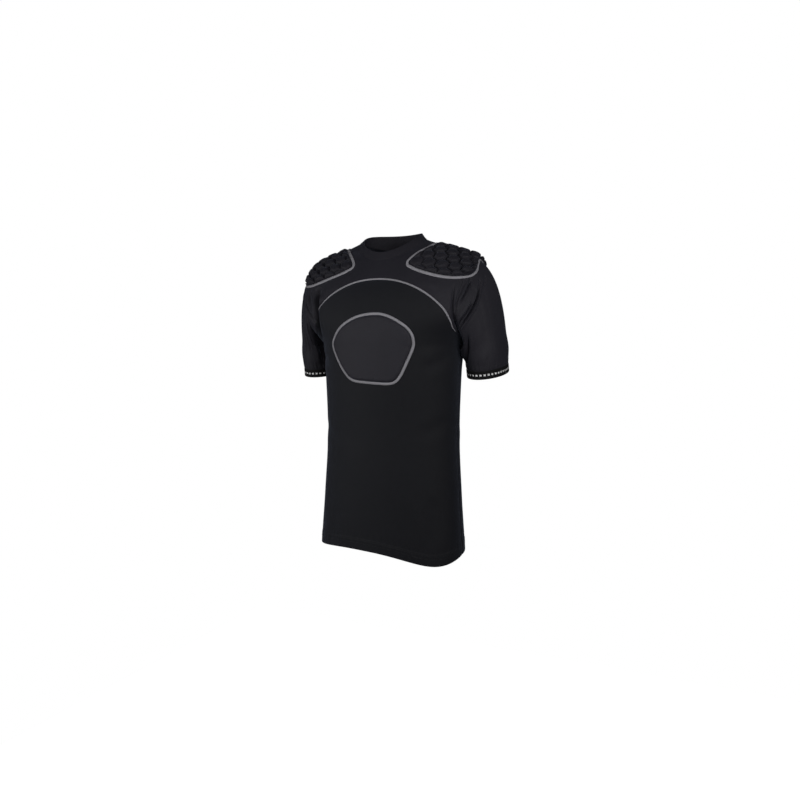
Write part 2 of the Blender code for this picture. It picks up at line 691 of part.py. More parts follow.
def main():
    for old in list(bpy.data.objects):
        bpy.data.objects.remove(old, do_unlink=True)

    body_cloth = material("body_cloth", BODY_BLACK, KNIT_ROUGHNESS)
    yoke_cloth = material("yoke_cloth", YOKE_BLACK, KNIT_ROUGHNESS)
    pad_cloth = material("pad_cloth", YOKE_BLACK, KNIT_ROUGHNESS)
    band_cloth = material("band_cloth", BAND_BLACK, BAND_ROUGHNESS)
    trim_cloth = material("trim_cloth", TRIM_GREY, BAND_ROUGHNESS)

    # Cut-and-sewn cloth
    piece("front_body", body_wall(front_body_places()), body_cloth)
    piece("front_yoke", body_wall(front_yoke_places()), yoke_cloth)
    piece("back_body", body_wall(back_body_places(), behind=True), body_cloth)
    piece("collar", collar_wall(), yoke_cloth, wraps=True)
    for side, right in (("left", False), ("right", True)):
        piece("sleeve_" + side, sleeve_wall(), yoke_cloth, wraps=True, right=right)
        piece("cuff_" + side, cuff_wall(), band_cloth, wraps=True, right=right)

    # Chest pad and its trim
    half = list(CHEST_PAD_OUTLINE)
    whole = half + [(-sideways, height) for sideways, height in half[-2:0:-1]]
    outline = closed_curve(whole, CHEST_PAD_STEPS)
    centre = np.array([0.0, (half[0][1] + half[-1][1]) / 2])
    pad_pieces("chest_pad", on_front, outline, centre, CHEST_PAD_THICKNESS, pad_cloth, trim_cloth)

    # Trim over the yoke seam
    steps = (-YOKE_TRIM_WIDTH / 2, YOKE_TRIM_WIDTH / 2)
    across = np.linspace(-1, 1, YOKE_COLUMNS + 1)
    points, out = on_front(np.stack([yoke_seam(across, step)[1:-1] for step in steps]))
    piece("yoke_trim", (points + (LIFT + TRIM_HEIGHT) * out, points + LIFT * out), trim_cloth)

    # Shoulder pads and their trims
    front, _ = body_wall(front_yoke_places(), gap=0.0)
    back, _ = body_wall(back_body_places(), behind=True, gap=0.0)
    sleeve, _ = sleeve_wall(gap=0.0)
    cloth = face_tree([(front, False), (back, False), (sleeve, True)])
    form = form_tree()
    half = [(sideways, math.radians(tilt)) for sideways, tilt in SHOULDER_PAD_OUTLINE]
    whole = half + [(sideways, -tilt) for sideways, tilt in half[-2:0:-1]]
    size = np.array([1.0, SHOULDER_RADIUS])

    def lie(places):
        return on_shoulder(cloth, form, places / size)

    outline = closed_curve(np.array(whole) * size, SHOULDER_PAD_STEPS)
    centre = np.array([SHOULDER_PAD_CENTRE, 0.0])
    for side, right in (("left", False), ("right", True)):
        name = "shoulder_pad_" + side
        pad_pieces(name, lie, outline, centre, SHOULDER_PAD_THICKNESS, pad_cloth, trim_cloth, right)


if __name__ == "__main__":
    main()
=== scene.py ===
"""Looks of a padded short-sleeve rugby top: knit panels, foam-cell pads, satin edging and elastic cuffs.

Units are metres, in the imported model's frame: +Z is up, the wearer faces -Y and the wearer's left is +X.
Angles round the body start at the front centre (0), pass the left side (90) and end at the back (180).
Turns round a sleeve start at its top (0), pass its front (90) and end at the underarm (180); its back is
negative. Right-hand pieces mirror left-hand ones, with creases of their own.
"""

import math
from functools import partial

import bpy
import numpy as np
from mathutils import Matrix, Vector
from mathutils.bvhtree import BVHTree


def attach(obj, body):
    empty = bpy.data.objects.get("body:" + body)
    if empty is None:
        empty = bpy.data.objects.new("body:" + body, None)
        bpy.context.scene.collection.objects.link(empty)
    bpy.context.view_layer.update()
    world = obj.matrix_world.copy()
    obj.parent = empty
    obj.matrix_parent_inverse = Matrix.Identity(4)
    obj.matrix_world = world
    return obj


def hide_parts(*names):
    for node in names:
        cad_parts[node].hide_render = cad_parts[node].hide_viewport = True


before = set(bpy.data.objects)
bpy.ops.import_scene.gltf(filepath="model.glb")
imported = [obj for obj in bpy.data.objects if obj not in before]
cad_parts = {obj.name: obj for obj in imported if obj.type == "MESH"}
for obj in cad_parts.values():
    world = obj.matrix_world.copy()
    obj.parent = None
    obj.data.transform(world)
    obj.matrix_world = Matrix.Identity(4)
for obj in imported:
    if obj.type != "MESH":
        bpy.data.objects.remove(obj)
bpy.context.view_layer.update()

bl_info = {
    "name": "Padded rugby top",
    "version": (1, 0, 0),
    "blender": (4, 5, 0),
    "location": "View3D > Sidebar > Rugby top",
    "description": "Makes the cloth, pads, edging, stitching and stage of a padded rugby top",
    "category": "Object",
}

BODY = "root"
PLACE = "cloth_place"

# The worn form of the body as level sections, from the hem up
# height, half width, and how far back its sides, front and back are
BODY_SECTIONS = (
    (-0.740, 0.173, -0.006, -0.117, 0.112),
    (-0.700, 0.172, -0.006, -0.116, 0.111),
    (-0.580, 0.165, -0.004, -0.111, 0.102),
    (-0.440, 0.159, 0.000, -0.108, 0.095),
    (-0.300, 0.163, 0.000, -0.117, 0.105),
    (-0.245, 0.167, 0.002, -0.122, 0.111),
    (-0.220, 0.181, 0.005, -0.124, 0.113),
    (-0.205, 0.197, 0.007, -0.124, 0.115),
    (-0.185, 0.221, 0.009, -0.123, 0.116),
    (-0.155, 0.245, 0.012, -0.118, 0.116),
    (-0.120, 0.254, 0.013, -0.108, 0.113),
    (-0.090, 0.247, 0.013, -0.093, 0.107),
    (-0.070, 0.234, 0.013, -0.080, 0.101),
    (-0.056, 0.219, 0.013, -0.071, 0.095),
    (-0.044, 0.201, 0.012, -0.063, 0.089),
    (-0.031, 0.173, 0.011, -0.052, 0.080),
    (-0.020, 0.142, 0.010, -0.041, 0.071),
    (-0.009, 0.116, 0.006, -0.032, 0.057),
    (0.003, 0.085, 0.003, -0.024, 0.032),
    (0.030, 0.045, 0.000, -0.012, 0.015),
)
ROUNDNESS = 2.2

# Hem: its level, and soft dips (+) and lifts (-) round it
HEM_HEIGHT = -0.700
HEM_WAVE_TOP = -0.440
# Angle, drop, spread
HEM_WAVES = (
    (-14, -0.012, 40),
    (52, 0.016, 30),
    (128, -0.006, 30),
    (200, 0.008, 34),
    (262, -0.004, 26),
)
# Where the turned hem's step starts and its width, as shares of its depth, its height, how many times
# that is added inside, and rows close to it
HEM_FOLD_END = 1.04
HEM_FOLD_SOFT = 0.10
HEM_STEP = 0.0006
HEM_THICKER = 1.5
HEM_ROWS = (0.80, 0.90, 0.96, 1.0, 1.04, 1.10)

# Armhole: a slanting plane that cuts the shoulder stub off the body
ARMHOLE_TOP_X = 0.196
ARMHOLE_TOP_HEIGHT = -0.044
ARMHOLE_SLANT = 0.10
ARMHOLE_MIDDLE_HEIGHT = -0.13
YOKE_END_TURN = math.radians(150)

# Neck seam and collar
NECK_HALF_WIDTH = 0.083
NECK_FRONT = 0.066
NECK_BACK = 0.062
NECK_LOWEST = -0.12
NECK_HIGHEST = 0.02
COLLAR_CLOTH = 0.0022
COLLAR_TOP_HALF_WIDTH = 0.070
COLLAR_TOP_FRONT = 0.058
COLLAR_TOP_BACK = 0.056
COLLAR_FRONT_HEIGHT = -0.0275
COLLAR_BACK_HEIGHT = 0.0250
COLLAR_DIP_POWER = 2.4
COLLAR_RISE = 0.00003
COLLAR_TOP_STEPS = (0.0002, 0.0005)

# Yoke seam: an arch over the chest, from armhole to armhole, the stretch with edging and how that tapers,
# and the seam's share of each panel's columns
YOKE_PEAK_HEIGHT = -0.093
YOKE_ARCH_POWER = 2.1
YOKE_BOW = 0.034
YOKE_SHOULDER_POWER = 6
YOKE_RIGHT_SHARE = 0.895
YOKE_EDGING = (-0.53, 0.90)
YOKE_EDGING_LENGTH = 0.50
YOKE_EDGING_END = 0.30
YOKE_EDGING_TAPER = 0.35
BACK_CORNER_POWER = 8
SEAM_SHARE_BELOW = 0.8
SEAM_SHARE_ABOVE = 8 / 18

# Sleeve and cuff
CUFF_CENTRE = (0.2125, 0.056, -0.302)
ARM_DIRECTION = (0.03, 0.18, -0.98)
CUFF_HEIGHT = 0.019
CUFF_HALF_WIDTH = 0.045
CUFF_HALF_DEPTH = 0.070
CUFF_CLOTH = 0.0018
CUFF_RIBS = 9
CUFF_RIB_DEPTH = 0.00022
CUFF_ROUND = 0.0012
CUFF_ROUND_DEPTH = 0.00054
DASH_PITCH = 0.0091
DASH_LENGTH = 0.0052
DASH_HEIGHT = 0.0042
SLEEVE_BLOUSE = 0.003
BLOUSE_START = 0.70
SLEEVE_AROUND = 0.065
SLEEVE_LENGTH = 0.20
SLEEVE_NORMALS_START = 0.03
# Turn round the sleeve, pull towards the arm, reach of the start
SLEEVE_STARTS = (
    (0, 0.08, 0.250),
    (90, 0.52, 0.190),
    (140, 0.70, 0.120),
    (180, 0.92, 0.050),
    (220, 0.70, 0.120),
    (270, 0.52, 0.190),
    (360, 0.08, 0.250),
)

# Seams: the gap between pieces, how deep and wide the cloth dips to them, rows close to them, how far
# from them creases fade, how near is on one, and what counts as nothing
SEAM_GAP = 0.00003
SEAM_DIP = 0.0009
SEAM_SOFT = 0.0030
SEAM_STEPS = (0.0008, 0.0018, 0.0030, 0.0045, 0.0065)
CREASE_FADE = 0.010
ON_SEAM = 1e-6
NOTHING = 1e-9

# Chest pad: outline from the top centre round by the wearer's left, sideways and height
CHEST_PAD_OUTLINE = (
    (0.012, -0.1740),
    (0.044, -0.1798),
    (0.0775, -0.1990),
    (0.0905, -0.2145),
    (0.0940, -0.2300),
    (0.0910, -0.2470),
    (0.0760, -0.2815),
    (0.0650, -0.3035),
    (0.0535, -0.3160),
    (0.0380, -0.3192),
    (0.015, -0.3184),
    (-0.012, -0.3168),
    (-0.0310, -0.3152),
    (-0.0470, -0.3112),
    (-0.0605, -0.3010),
    (-0.0780, -0.2780),
    (-0.0958, -0.2430),
    (-0.0910, -0.2240),
    (-0.0680, -0.1985),
    (-0.030, -0.1795),
)

# Shoulder pad: an axis inside the shoulder, and half an outline from its outer end round the front,
# along the ridge and tilted from it
SHOULDER_AXIS_Y = 0.0151
SHOULDER_AXIS_HEIGHT = -0.110
SHOULDER_RADIUS = 0.085
SHOULDER_FAN_START = 0.160
SHOULDER_PAD_CENTRE = 0.178
SHOULDER_PAD_OUTLINE = (
    (0.212, 0),
    (0.2195, 28),
    (0.2235, 50),
    (0.2165, 65),
    (0.201, 74),
    (0.178, 77.5),
    (0.154, 77),
    (0.129, 74),
    (0.104, 69.5),
    (0.082, 64),
    (0.070, 57.5),
    (0.085, 42),
    (0.105, 25),
    (0.115, 12),
    (0.121, 0),
)
# How far the outer end is drawn in behind, how much lower the right pad's outer end lies in front, where
# along the ridge both start, over what reach, and the tilt from which they are full
PAD_BACK_PULL = 0.012
RIGHT_PAD_DROP = 0.007
PAD_END_START = 0.130
PAD_END_REACH = 0.080
PAD_END_TILT = 60
FORM_LOWEST = -0.19
FORM_SLEEVE_REACH = 0.60
FORM_STEPS = (140, 90, 90, 180)

# Foam cells: one cell's middle, and the steps to its neighbours, along the ridge and down the front
CELL_MIDDLE = (0.1167, 0.0858)
CELL_STEP_ALONG = (0.0287, 0.0034)
CELL_STEP_DOWN = (0.0076, 0.0217)
CELL_PITCH = 0.027
# How a cell's top rounds off and sinks from its middle, and how a pad's edge rounds off
CELL_ROUND_POWER = 3.2
CELL_SINK = 0.06
PAD_ROUND_POWER = 2.2
# Where the foam's height changes along the ridge: start and reach at the neck end and at the outer end
NECK_END = (0.075, 0.085)
OUTER_END = (0.170, 0.050)
# Rounds of smoothing of the pad's points and directions, and of its edging's
PAD_EVENING = (2, 12)
PAD_EDGING_EVENING = (12, 40)
NO_EVENING = (0, 0)

# Creases, each as a path, its half width, its depth, and the share of the depth that its left and
# right lips stand up, seen along the path
# On the front and the yoke: sideways and height
FRONT_CREASES = (
    (((0.166, -0.250), (0.140, -0.276), (0.104, -0.292)), 0.011, 0.0018, 0.3, 0.4),
    (((-0.164, -0.252), (-0.142, -0.272), (-0.112, -0.284)), 0.010, 0.0020, 0.4, 0.3),
    (((0.158, -0.392), (0.132, -0.420), (0.094, -0.434)), 0.014, 0.0014, 0.3, 0.3),
    (((-0.156, -0.410), (-0.126, -0.440), (-0.082, -0.448)), 0.013, 0.0016, 0.3, 0.3),
    (((0.128, -0.560), (0.134, -0.625), (0.131, -0.690)), 0.016, 0.0016, 0.4, 0.4),
    (((-0.094, -0.596), (-0.102, -0.650), (-0.099, -0.698)), 0.015, 0.0014, 0.4, 0.4),
)
YOKE_CREASES = (
    (((-0.1500, -0.122), (-0.1450, -0.150), (-0.1420, -0.182)), 0.0065, 0.0060, 0.9, 0.2),
    (((-0.1760, -0.118), (-0.1720, -0.140), (-0.1650, -0.160)), 0.0050, 0.0030, 0.4, 0.4),
    (((0.150, -0.128), (0.128, -0.118), (0.104, -0.116)), 0.009, 0.0010, 0.4, 0.3),
)
# On the back: sideways and height
BACK_CREASES = (
    (((0.168, -0.120), (0.150, -0.158), (0.142, -0.205)), 0.0085, 0.0042, 0.4, 0.6),
    (((-0.170, -0.112), (-0.154, -0.150), (-0.148, -0.190)), 0.0080, 0.0038, 0.6, 0.4),
    (((0.158, -0.240), (0.118, -0.262), (0.066, -0.268)), 0.012, 0.0024, 0.4, 0.3),
    (((-0.160, -0.232), (-0.124, -0.256), (-0.084, -0.262)), 0.011, 0.0026, 0.3, 0.4),
    (((0.152, -0.400), (0.108, -0.424), (0.046, -0.428)), 0.015, 0.0026, 0.4, 0.4),
    (((-0.154, -0.420), (-0.118, -0.446), (-0.062, -0.452)), 0.014, 0.0030, 0.4, 0.4),
    (((0.130, -0.462), (0.086, -0.478), (0.030, -0.476)), 0.013, 0.0018, 0.4, 0.3),
    (((-0.070, -0.560), (-0.080, -0.630), (-0.076, -0.695)), 0.018, 0.0022, 0.4, 0.4),
    (((0.088, -0.585), (0.096, -0.640), (0.093, -0.700)), 0.016, 0.0018, 0.4, 0.4),
)
# On the sleeves: turn in degrees and share of the way down
LEFT_SLEEVE_CREASES = (
    (((22, 0.200), (34, 0.255), (46, 0.285)), 0.0028, 0.0018, 0.2, 0.3),
    (((40, 0.185), (50, 0.235), (57, 0.262)), 0.0024, 0.0024, 0.2, 0.3),
    (((48, 0.215), (57, 0.258), (68, 0.280), (80, 0.281), (97, 0.250), (118, 0.178), (148, 0.060)),
     0.0027, 0.0086, 0.25, 0.2),
    (((72, 0.240), (86, 0.228), (102, 0.180), (122, 0.098), (140, 0.030)), 0.0023, 0.0050, 0.15, 0.25),
    (((52, 0.105), (68, 0.108), (84, 0.086), (102, 0.046)), 0.0026, 0.0052, 0.2, 0.4),
    (((66, 0.046), (80, 0.038), (94, 0.024)), 0.0030, 0.0022, 0.2, 0.3),
    (((110, 0.400), (116, 0.520), (124, 0.680), (134, 0.830), (142, 0.950)), 0.0075, 0.0066, 0.1, 0.1),
    (((150, 0.340), (146, 0.560), (142, 0.860)), 0.0170, -0.0085, 0.0, 0.0),
    (((58, 0.560), (66, 0.700), (70, 0.860)), 0.0140, 0.0010, 0.3, 0.3),
    (((60, 0.860), (62, 0.910), (62, 0.970)), 0.0060, 0.0006, 0.5, 0.5),
    (((86, 0.860), (88, 0.910), (87, 0.970)), 0.0055, 0.0006, 0.5, 0.5),
    (((-44, 0.230), (-66, 0.280), (-92, 0.262), (-122, 0.190)), 0.0050, 0.0050, 0.4, 0.5),
    (((-70, 0.110), (-92, 0.135), (-118, 0.110)), 0.0045, 0.0034, 0.4, 0.5),
    (((-96, 0.420), (-120, 0.385), (-148, 0.300)), 0.0060, 0.0036, 0.5, 0.4),
    (((-104, 0.560), (-112, 0.720), (-120, 0.900)), 0.0090, 0.0036, 0.4, 0.4),
    (((-40, 0.800), (-44, 0.880), (-42, 0.960)), 0.0060, 0.0014, 0.5, 0.5),
)
RIGHT_SLEEVE_CREASES = (
    (((36, 0.180), (52, 0.200), (70, 0.170), (90, 0.120)), 0.0034, 0.0030, 0.3, 0.4),
    (((112, 0.080), (120, 0.200), (123, 0.420), (122, 0.560)), 0.0036, 0.0034, 0.3, 0.4),
    (((82, 0.440), (84, 0.640), (86, 0.830)), 0.0046, 0.0026, 0.4, 0.4),
    (((98, 0.400), (101, 0.560), (103, 0.720)), 0.0040, 0.0018, 0.4, 0.4),
    (((154, 0.100), (150, 0.330), (141, 0.600), (133, 0.830), (129, 0.960)), 0.0085, 0.0100, 0.2, 0.1),
    (((26, 0.860), (28, 0.910), (27, 0.970)), 0.0060, 0.0006, 0.5, 0.5),
    (((-50, 0.250), (-74, 0.265), (-98, 0.225), (-128, 0.130)), 0.0052, 0.0046, 0.5, 0.4),
    (((-84, 0.390), (-108, 0.380), (-140, 0.270)), 0.0058, 0.0038, 0.4, 0.5),
    (((-92, 0.600), (-100, 0.740), (-104, 0.890)), 0.0085, 0.0030, 0.4, 0.4),
    (((-30, 0.800), (-34, 0.880), (-32, 0.960)), 0.0060, 0.0012, 0.5, 0.5),
)
# Tucks at the front of the armholes, where the cloth is drawn in across seams: sideways, height, depth
# and half width
TUCKS = (
    (
        (0.1790, -0.108, 0.0000, 0.0026),
        (0.1785, -0.130, 0.0048, 0.0026),
        (0.1777, -0.150, 0.0068, 0.0028),
        (0.1780, -0.172, 0.0068, 0.0030),
        (0.1800, -0.192, 0.0090, 0.0034),
        (0.1812, -0.211, 0.0080, 0.0034),
        (0.1762, -0.229, 0.0060, 0.0034),
        (0.1700, -0.247, 0.0030, 0.0036),
        (0.1660, -0.262, 0.0000, 0.0040),
    ),
    (
        (0.1990, -0.094, 0.0000, 0.0026),
        (0.1970, -0.105, 0.0028, 0.0026),
        (0.1885, -0.135, 0.0046, 0.0026),
        (0.1835, -0.160, 0.0036, 0.0026),
        (0.1810, -0.178, 0.0000, 0.0026),
    ),
    (
        (-0.1535, -0.104, 0.0000, 0.0090),
        (-0.1535, -0.114, 0.0140, 0.0085),
        (-0.1530, -0.128, 0.0210, 0.0074),
        (-0.1515, -0.146, 0.0210, 0.0064),
        (-0.1510, -0.163, 0.0190, 0.0060),
        (-0.1495, -0.186, 0.0170, 0.0066),
        (-0.1510, -0.206, 0.0140, 0.0080),
        (-0.1580, -0.228, 0.0120, 0.0090),
        (-0.1640, -0.247, 0.0060, 0.0090),
        (-0.1650, -0.266, 0.0000, 0.0090),
    ),
    (
        (-0.1975, -0.124, 0.0000, 0.0030),
        (-0.1920, -0.137, 0.0042, 0.0030),
        (-0.1855, -0.147, 0.0056, 0.0030),
        (-0.1690, -0.171, 0.0064, 0.0032),
        (-0.1570, -0.184, 0.0050, 0.0032),
        (-0.1480, -0.193, 0.0000, 0.0032),
    ),
    (
        (-0.1795, -0.106, 0.0000, 0.0028),
        (-0.1790, -0.116, 0.0030, 0.0028),
        (-0.1765, -0.133, 0.0032, 0.0028),
        (-0.1740, -0.144, 0.0000, 0.0028),
    ),
)
TUCK_STEPS = 40
CREASE_STEPS = 6
CREASE_TAPER = (0.25, 0.35)
# A crease's lips, in half widths of its trough
LIP_AWAY = 1.9
LIP_WIDTH = 1.1

# Puckers of the cloth where elastic or stitching gathers it: waves as cycles round it, start and share,
# then heights, places from an edge and reaches
PUCKER_WAVES = ((31, 0.4, 1.0), (47, 1.9, 0.7), (73, 0.8, 0.45))
CUFF_PUCKER = 0.00035
CUFF_PUCKER_REACH = 0.014
CUFF_PUCKER_AT = 0.006
CUFF_PUCKER_START = 0.004
HEM_PUCKER = 0.00030
HEM_PUCKER_REACH = 0.012
HEM_PUCKER_TURN = 0.5
PAD_PUCKER = 0.00025
PAD_PUCKER_AT = 0.004
PAD_PUCKER_REACH = 0.005

# Stitches: distances of their rows from an edge, slant over a seam, and rings as place along the stitch,
# width and height
HEM_STITCHES = (0.004, 0.010)
SEAM_STITCHES = 0.0028
CUFF_STITCHES = (0.0040, 0.0095)
COLLAR_STITCHES = 0.0032
SEAM_SLANT = 0.5
STITCH_RINGS = ((-0.5, 0.35, -0.2), (-0.25, 1.0, 0.35), (0.25, 1.0, 0.35), (0.5, 0.35, -0.2))
STITCH_SIDES = 6
STITCH_ROUND = 0.35

# Knits: roughness, width and height of a loop, and sheen
KNITS = {
    "body_knit": (0.66, 0.00110, 0.00085, 0.26),
    "yoke_knit": (0.60, 0.00110, 0.00085, 0.10),
    "pad_knit": (0.60, 0.00120, 0.00095, 0.10),
    "chest_knit": (0.60, 0.00120, 0.00095, 0.10),
}
KNIT_DEPTH = 0.00022
SHEEN_TINT = (0.66, 0.75, 1.0, 1.0)
# Elastic's threads across and along it, and the blur of a dash's edge
ELASTIC_PICK = 0.0009
ELASTIC_END = 0.0011
ELASTIC_DEPTH = 0.00020
DASH_BLUR = 0.0003
# Satin and twisted threads: space between them along and across, and depth
SATIN_THREAD = (0.00055, 0.0022)
SATIN_THREAD_DEPTH = 0.00015
TWIST = (0.0006, 0.0012)
TWIST_DEPTH = 0.0001
WHITE = (1.0, 1.0, 1.0, 1.0)

# Soft lights, each as its place from the middle of the top, to the image's right, away from the camera
# and up, and its width
LIGHTS = {
    "front": ((-0.20, -1.00, 0.42), 0.6),
    "left": ((-1.42, -0.55, 0.06), 0.8),
    "right": ((0.80, -1.30, 0.27), 0.8),
    "back": ((0.10, 1.65, -0.50), 0.8),
}
MIDDLE_HEIGHT = -0.33
SENSOR_WIDTH = 36.0

# Steps of the grids, and rough lengths of the panels that they divide
BODY_ACROSS = 0.46
FRONT_LENGTH = 0.55
YOKE_AROUND = 0.60
YOKE_LENGTH = 0.10
SHOULDER_SEAM_LENGTH = 0.12
COLLAR_LENGTH = 0.03
FRONT_COLUMNS = 121
FRONT_ROWS = 120
YOKE_COLUMNS = 281
YOKE_ROWS = 64
BACK_COLUMNS = 81
BACK_SIDE_ROWS = 76
BACK_ARMHOLE_ROWS = 52
BACK_SHOULDER_ROWS = 30
SLEEVE_FRONT = (20, 160)
SLEEVE_FRONT_COLUMNS = 132
SLEEVE_OTHER_COLUMNS = 64
SLEEVE_FOLDED = 0.42
SLEEVE_FOLDED_ROWS = 78
SLEEVE_PLAIN_ROWS = 40
CUFF_COLUMNS = 200
CUFF_ROWS = 28
COLLAR_COLUMNS = 280
COLLAR_ROWS = 16
SHOULDER_PAD_STEPS = 520
SHOULDER_PAD_RINGS = 96
CHEST_PAD_STEPS = 300
CHEST_PAD_RINGS = 54
OUTLINE_STEPS = 1600
OUTLINE_BENDS = 24
BASE_SHARES = (0.995, 0.9, 0.7, 0.45, 0.2)
EDGING_STEP = 0.00042
EDGING_SIDES = 7
EDGING_DOME = 0.92
SATIN_SLANT = 0.6
SHARP_ANGLE = math.radians(70)


class TopSizes(bpy.types.PropertyGroup):
    """Sizes of the top that a maker would change"""

    cloth: bpy.props.FloatProperty(
        name="Cloth", description="Thickness of the knit", default=0.0012, unit="LENGTH")
    hem_turn: bpy.props.FloatProperty(
        name="Hem turn", description="Depth of the turned hem", default=0.025, unit="LENGTH")
    pad_lift: bpy.props.FloatProperty(
        name="Pad lift", description="Gap between a pad and the cloth under it",
        default=0.0004, unit="LENGTH")
    foam_rise: bpy.props.FloatProperty(
        name="Foam rise", description="Height of a shoulder pad's cells", default=0.0096, unit="LENGTH")
    neck_share: bpy.props.FloatProperty(
        name="Neck share", description="Share of the foam's height at the neck end of a pad",
        default=0.60)
    left_share: bpy.props.FloatProperty(
        name="Left share", description="Share of the foam's height at the left pad's outer end",
        default=1.36)
    right_share: bpy.props.FloatProperty(
        name="Right share", description="Share of the foam's height at the right pad's outer end",
        default=0.78)
    groove_floor: bpy.props.FloatProperty(
        name="Groove floor", description="Height of the grooves between cells",
        default=0.0004, unit="LENGTH")
    groove_round: bpy.props.FloatProperty(
        name="Groove round", description="How far from a groove a cell's top is level",
        default=0.0088, unit="LENGTH")
    groove_width: bpy.props.FloatProperty(
        name="Groove width", description="Softness of a groove's bottom", default=0.0004, unit="LENGTH")
    pad_edge: bpy.props.FloatProperty(
        name="Pad edge", description="Height of a pad at its outline", default=0.0018, unit="LENGTH")
    pad_slope: bpy.props.FloatProperty(
        name="Pad slope", description="Width of the slope at a pad's outline",
        default=0.0070, unit="LENGTH")
    chest_rise: bpy.props.FloatProperty(
        name="Chest rise", description="Height of the chest pad", default=0.0052, unit="LENGTH")
    edging_width: bpy.props.FloatProperty(
        name="Edging width", description="Width of the edging round the pads",
        default=0.0062, unit="LENGTH")
    edging_height: bpy.props.FloatProperty(
        name="Edging height", description="Height of the edging", default=0.0020, unit="LENGTH")
    arch_width: bpy.props.FloatProperty(
        name="Arch width", description="Width of the edging over the yoke seam",
        default=0.0042, unit="LENGTH")
    satin_pitch: bpy.props.FloatProperty(
        name="Satin pitch", description="Space between the edging's threads",
        default=0.0017, unit="LENGTH")
    satin_depth: bpy.props.FloatProperty(
        name="Satin depth", description="Depth between the edging's threads",
        default=0.00022, unit="LENGTH")
    stitch: bpy.props.FloatProperty(
        name="Stitch", description="Length of one stitch", default=0.0028, unit="LENGTH")
    stitch_gap: bpy.props.FloatProperty(
        name="Stitch gap", description="Gap between stitches", default=0.0010, unit="LENGTH")
    thread: bpy.props.FloatProperty(
        name="Thread", description="Thickness of the thread", default=0.0006, unit="LENGTH")


class TopColours(bpy.types.PropertyGroup):
    """Colours of the top's cloth, edging and thread"""

    body_black: bpy.props.FloatVectorProperty(
        name="Body", description="Knit of the body",
        default=(0.0080, 0.0082, 0.0104), subtype="COLOR")
    yoke_black: bpy.props.FloatVectorProperty(
        name="Yoke", description="Knit of the yoke and sleeves",
        default=(0.0192, 0.0182, 0.0236), subtype="COLOR")
    pad_black: bpy.props.FloatVectorProperty(
        name="Pads", description="Knit over the foam",
        default=(0.0161, 0.0152, 0.0198), subtype="COLOR")
    chest_black: bpy.props.FloatVectorProperty(
        name="Chest", description="Knit over the chest pad",
        default=(0.0236, 0.0226, 0.0286), subtype="COLOR")
    band_black: bpy.props.FloatVectorProperty(
        name="Cuffs", description="Ground of the elastic cuffs",
        default=(0.0030, 0.0030, 0.0034), subtype="COLOR")
    dash_white: bpy.props.FloatVectorProperty(
        name="Dashes", description="Dashes woven into the cuffs",
        default=(0.80, 0.80, 0.80), subtype="COLOR")
    satin_grey: bpy.props.FloatVectorProperty(
        name="Edging", description="Satin thread of the edging",
        default=(0.268, 0.262, 0.286), subtype="COLOR")
    thread_black: bpy.props.FloatVectorProperty(
        name="Thread", description="Thread of the seams", default=(0.014, 0.014, 0.016), subtype="COLOR")
    floor_white: bpy.props.FloatVectorProperty(
        name="Floor", description="Studio floor", default=(0.93, 0.93, 0.93), subtype="COLOR")


class StageSettings(bpy.types.PropertyGroup):
    """Camera and light of the stage"""

    lens: bpy.props.FloatProperty(
        name="Lens", description="Focal length in millimetres on a 36 mm sensor", default=32.31)
    azimuth: bpy.props.FloatProperty(
        name="Azimuth", description="Turn of the camera round the top",
        default=math.radians(25), subtype="ANGLE")
    distance: bpy.props.FloatProperty(
        name="Distance", description="Camera to the middle of the top", default=1.67, unit="LENGTH")
    eye_height: bpy.props.FloatProperty(
        name="Eye height", description="Height of the camera", default=-0.26, unit="LENGTH")
    shift: bpy.props.FloatVectorProperty(
        name="Shift", description="Shift of the frame across and up",
        default=(0.00875, -0.05625), size=2)
    floor_level: bpy.props.FloatProperty(
        name="Floor level", description="Height of the floor", default=-1.45, unit="LENGTH")
    front_power: bpy.props.FloatProperty(
        name="Front", description="Watts of the soft light in front of the chest", default=2.3)
    left_power: bpy.props.FloatProperty(
        name="Left", description="Watts of the soft light at the image's left", default=8.8)
    right_power: bpy.props.FloatProperty(
        name="Right", description="Watts of the soft light at the image's right", default=10.4)
    back_power: bpy.props.FloatProperty(
        name="Back", description="Watts of the soft light behind the top", default=3.5)
    ambient: bpy.props.FloatProperty(
        name="Ambient", description="Brightness of the room", default=0.01)
    floor_glow: bpy.props.FloatProperty(
        name="Floor glow", description="Brightness of the floor, lit from under like a light table",
        default=1.0)
    floor_half: bpy.props.FloatProperty(
        name="Floor half", description="Half the floor's width", default=1.3, unit="LENGTH")


def sizes():
    return bpy.context.scene.rugby_top_sizes


def colours():
    return bpy.context.scene.rugby_top_colours


def bent(start, end, leave, arrive, share):
    """A smooth bend, at shares of the way from start to end, with its slopes at both."""
    return (
        start * (1 + 2 * share) * (1 - share) ** 2
        + end * share * share * (3 - 2 * share)
        + leave * share * (1 - share) ** 2
        - arrive * share * share * (1 - share)
    )


def bends(points, count):
    """Smooth bends between neighbours in a row of points, all but its two ends, in so many steps each."""
    share = np.linspace(0, 1, count, endpoint=False)[:, None]
    pieces = [
        bent(start, end, (end - before) / 2, (after - start) / 2, share)
        for before, start, end, after in zip(points, points[1:], points[2:], points[3:])
    ]
    return np.concatenate(pieces + [points[-2:-1]])


def lengths_along(line):
    """Distances of a line's points from its first one, along it."""
    return np.concatenate([[0], np.cumsum(np.linalg.norm(np.diff(line, axis=0), axis=1))])


def along_line(at, lengths, rows):
    """Rows of numbers, known at lengths along a line, at other lengths."""
    return np.stack([np.interp(at, lengths, column) for column in rows.T], axis=-1)


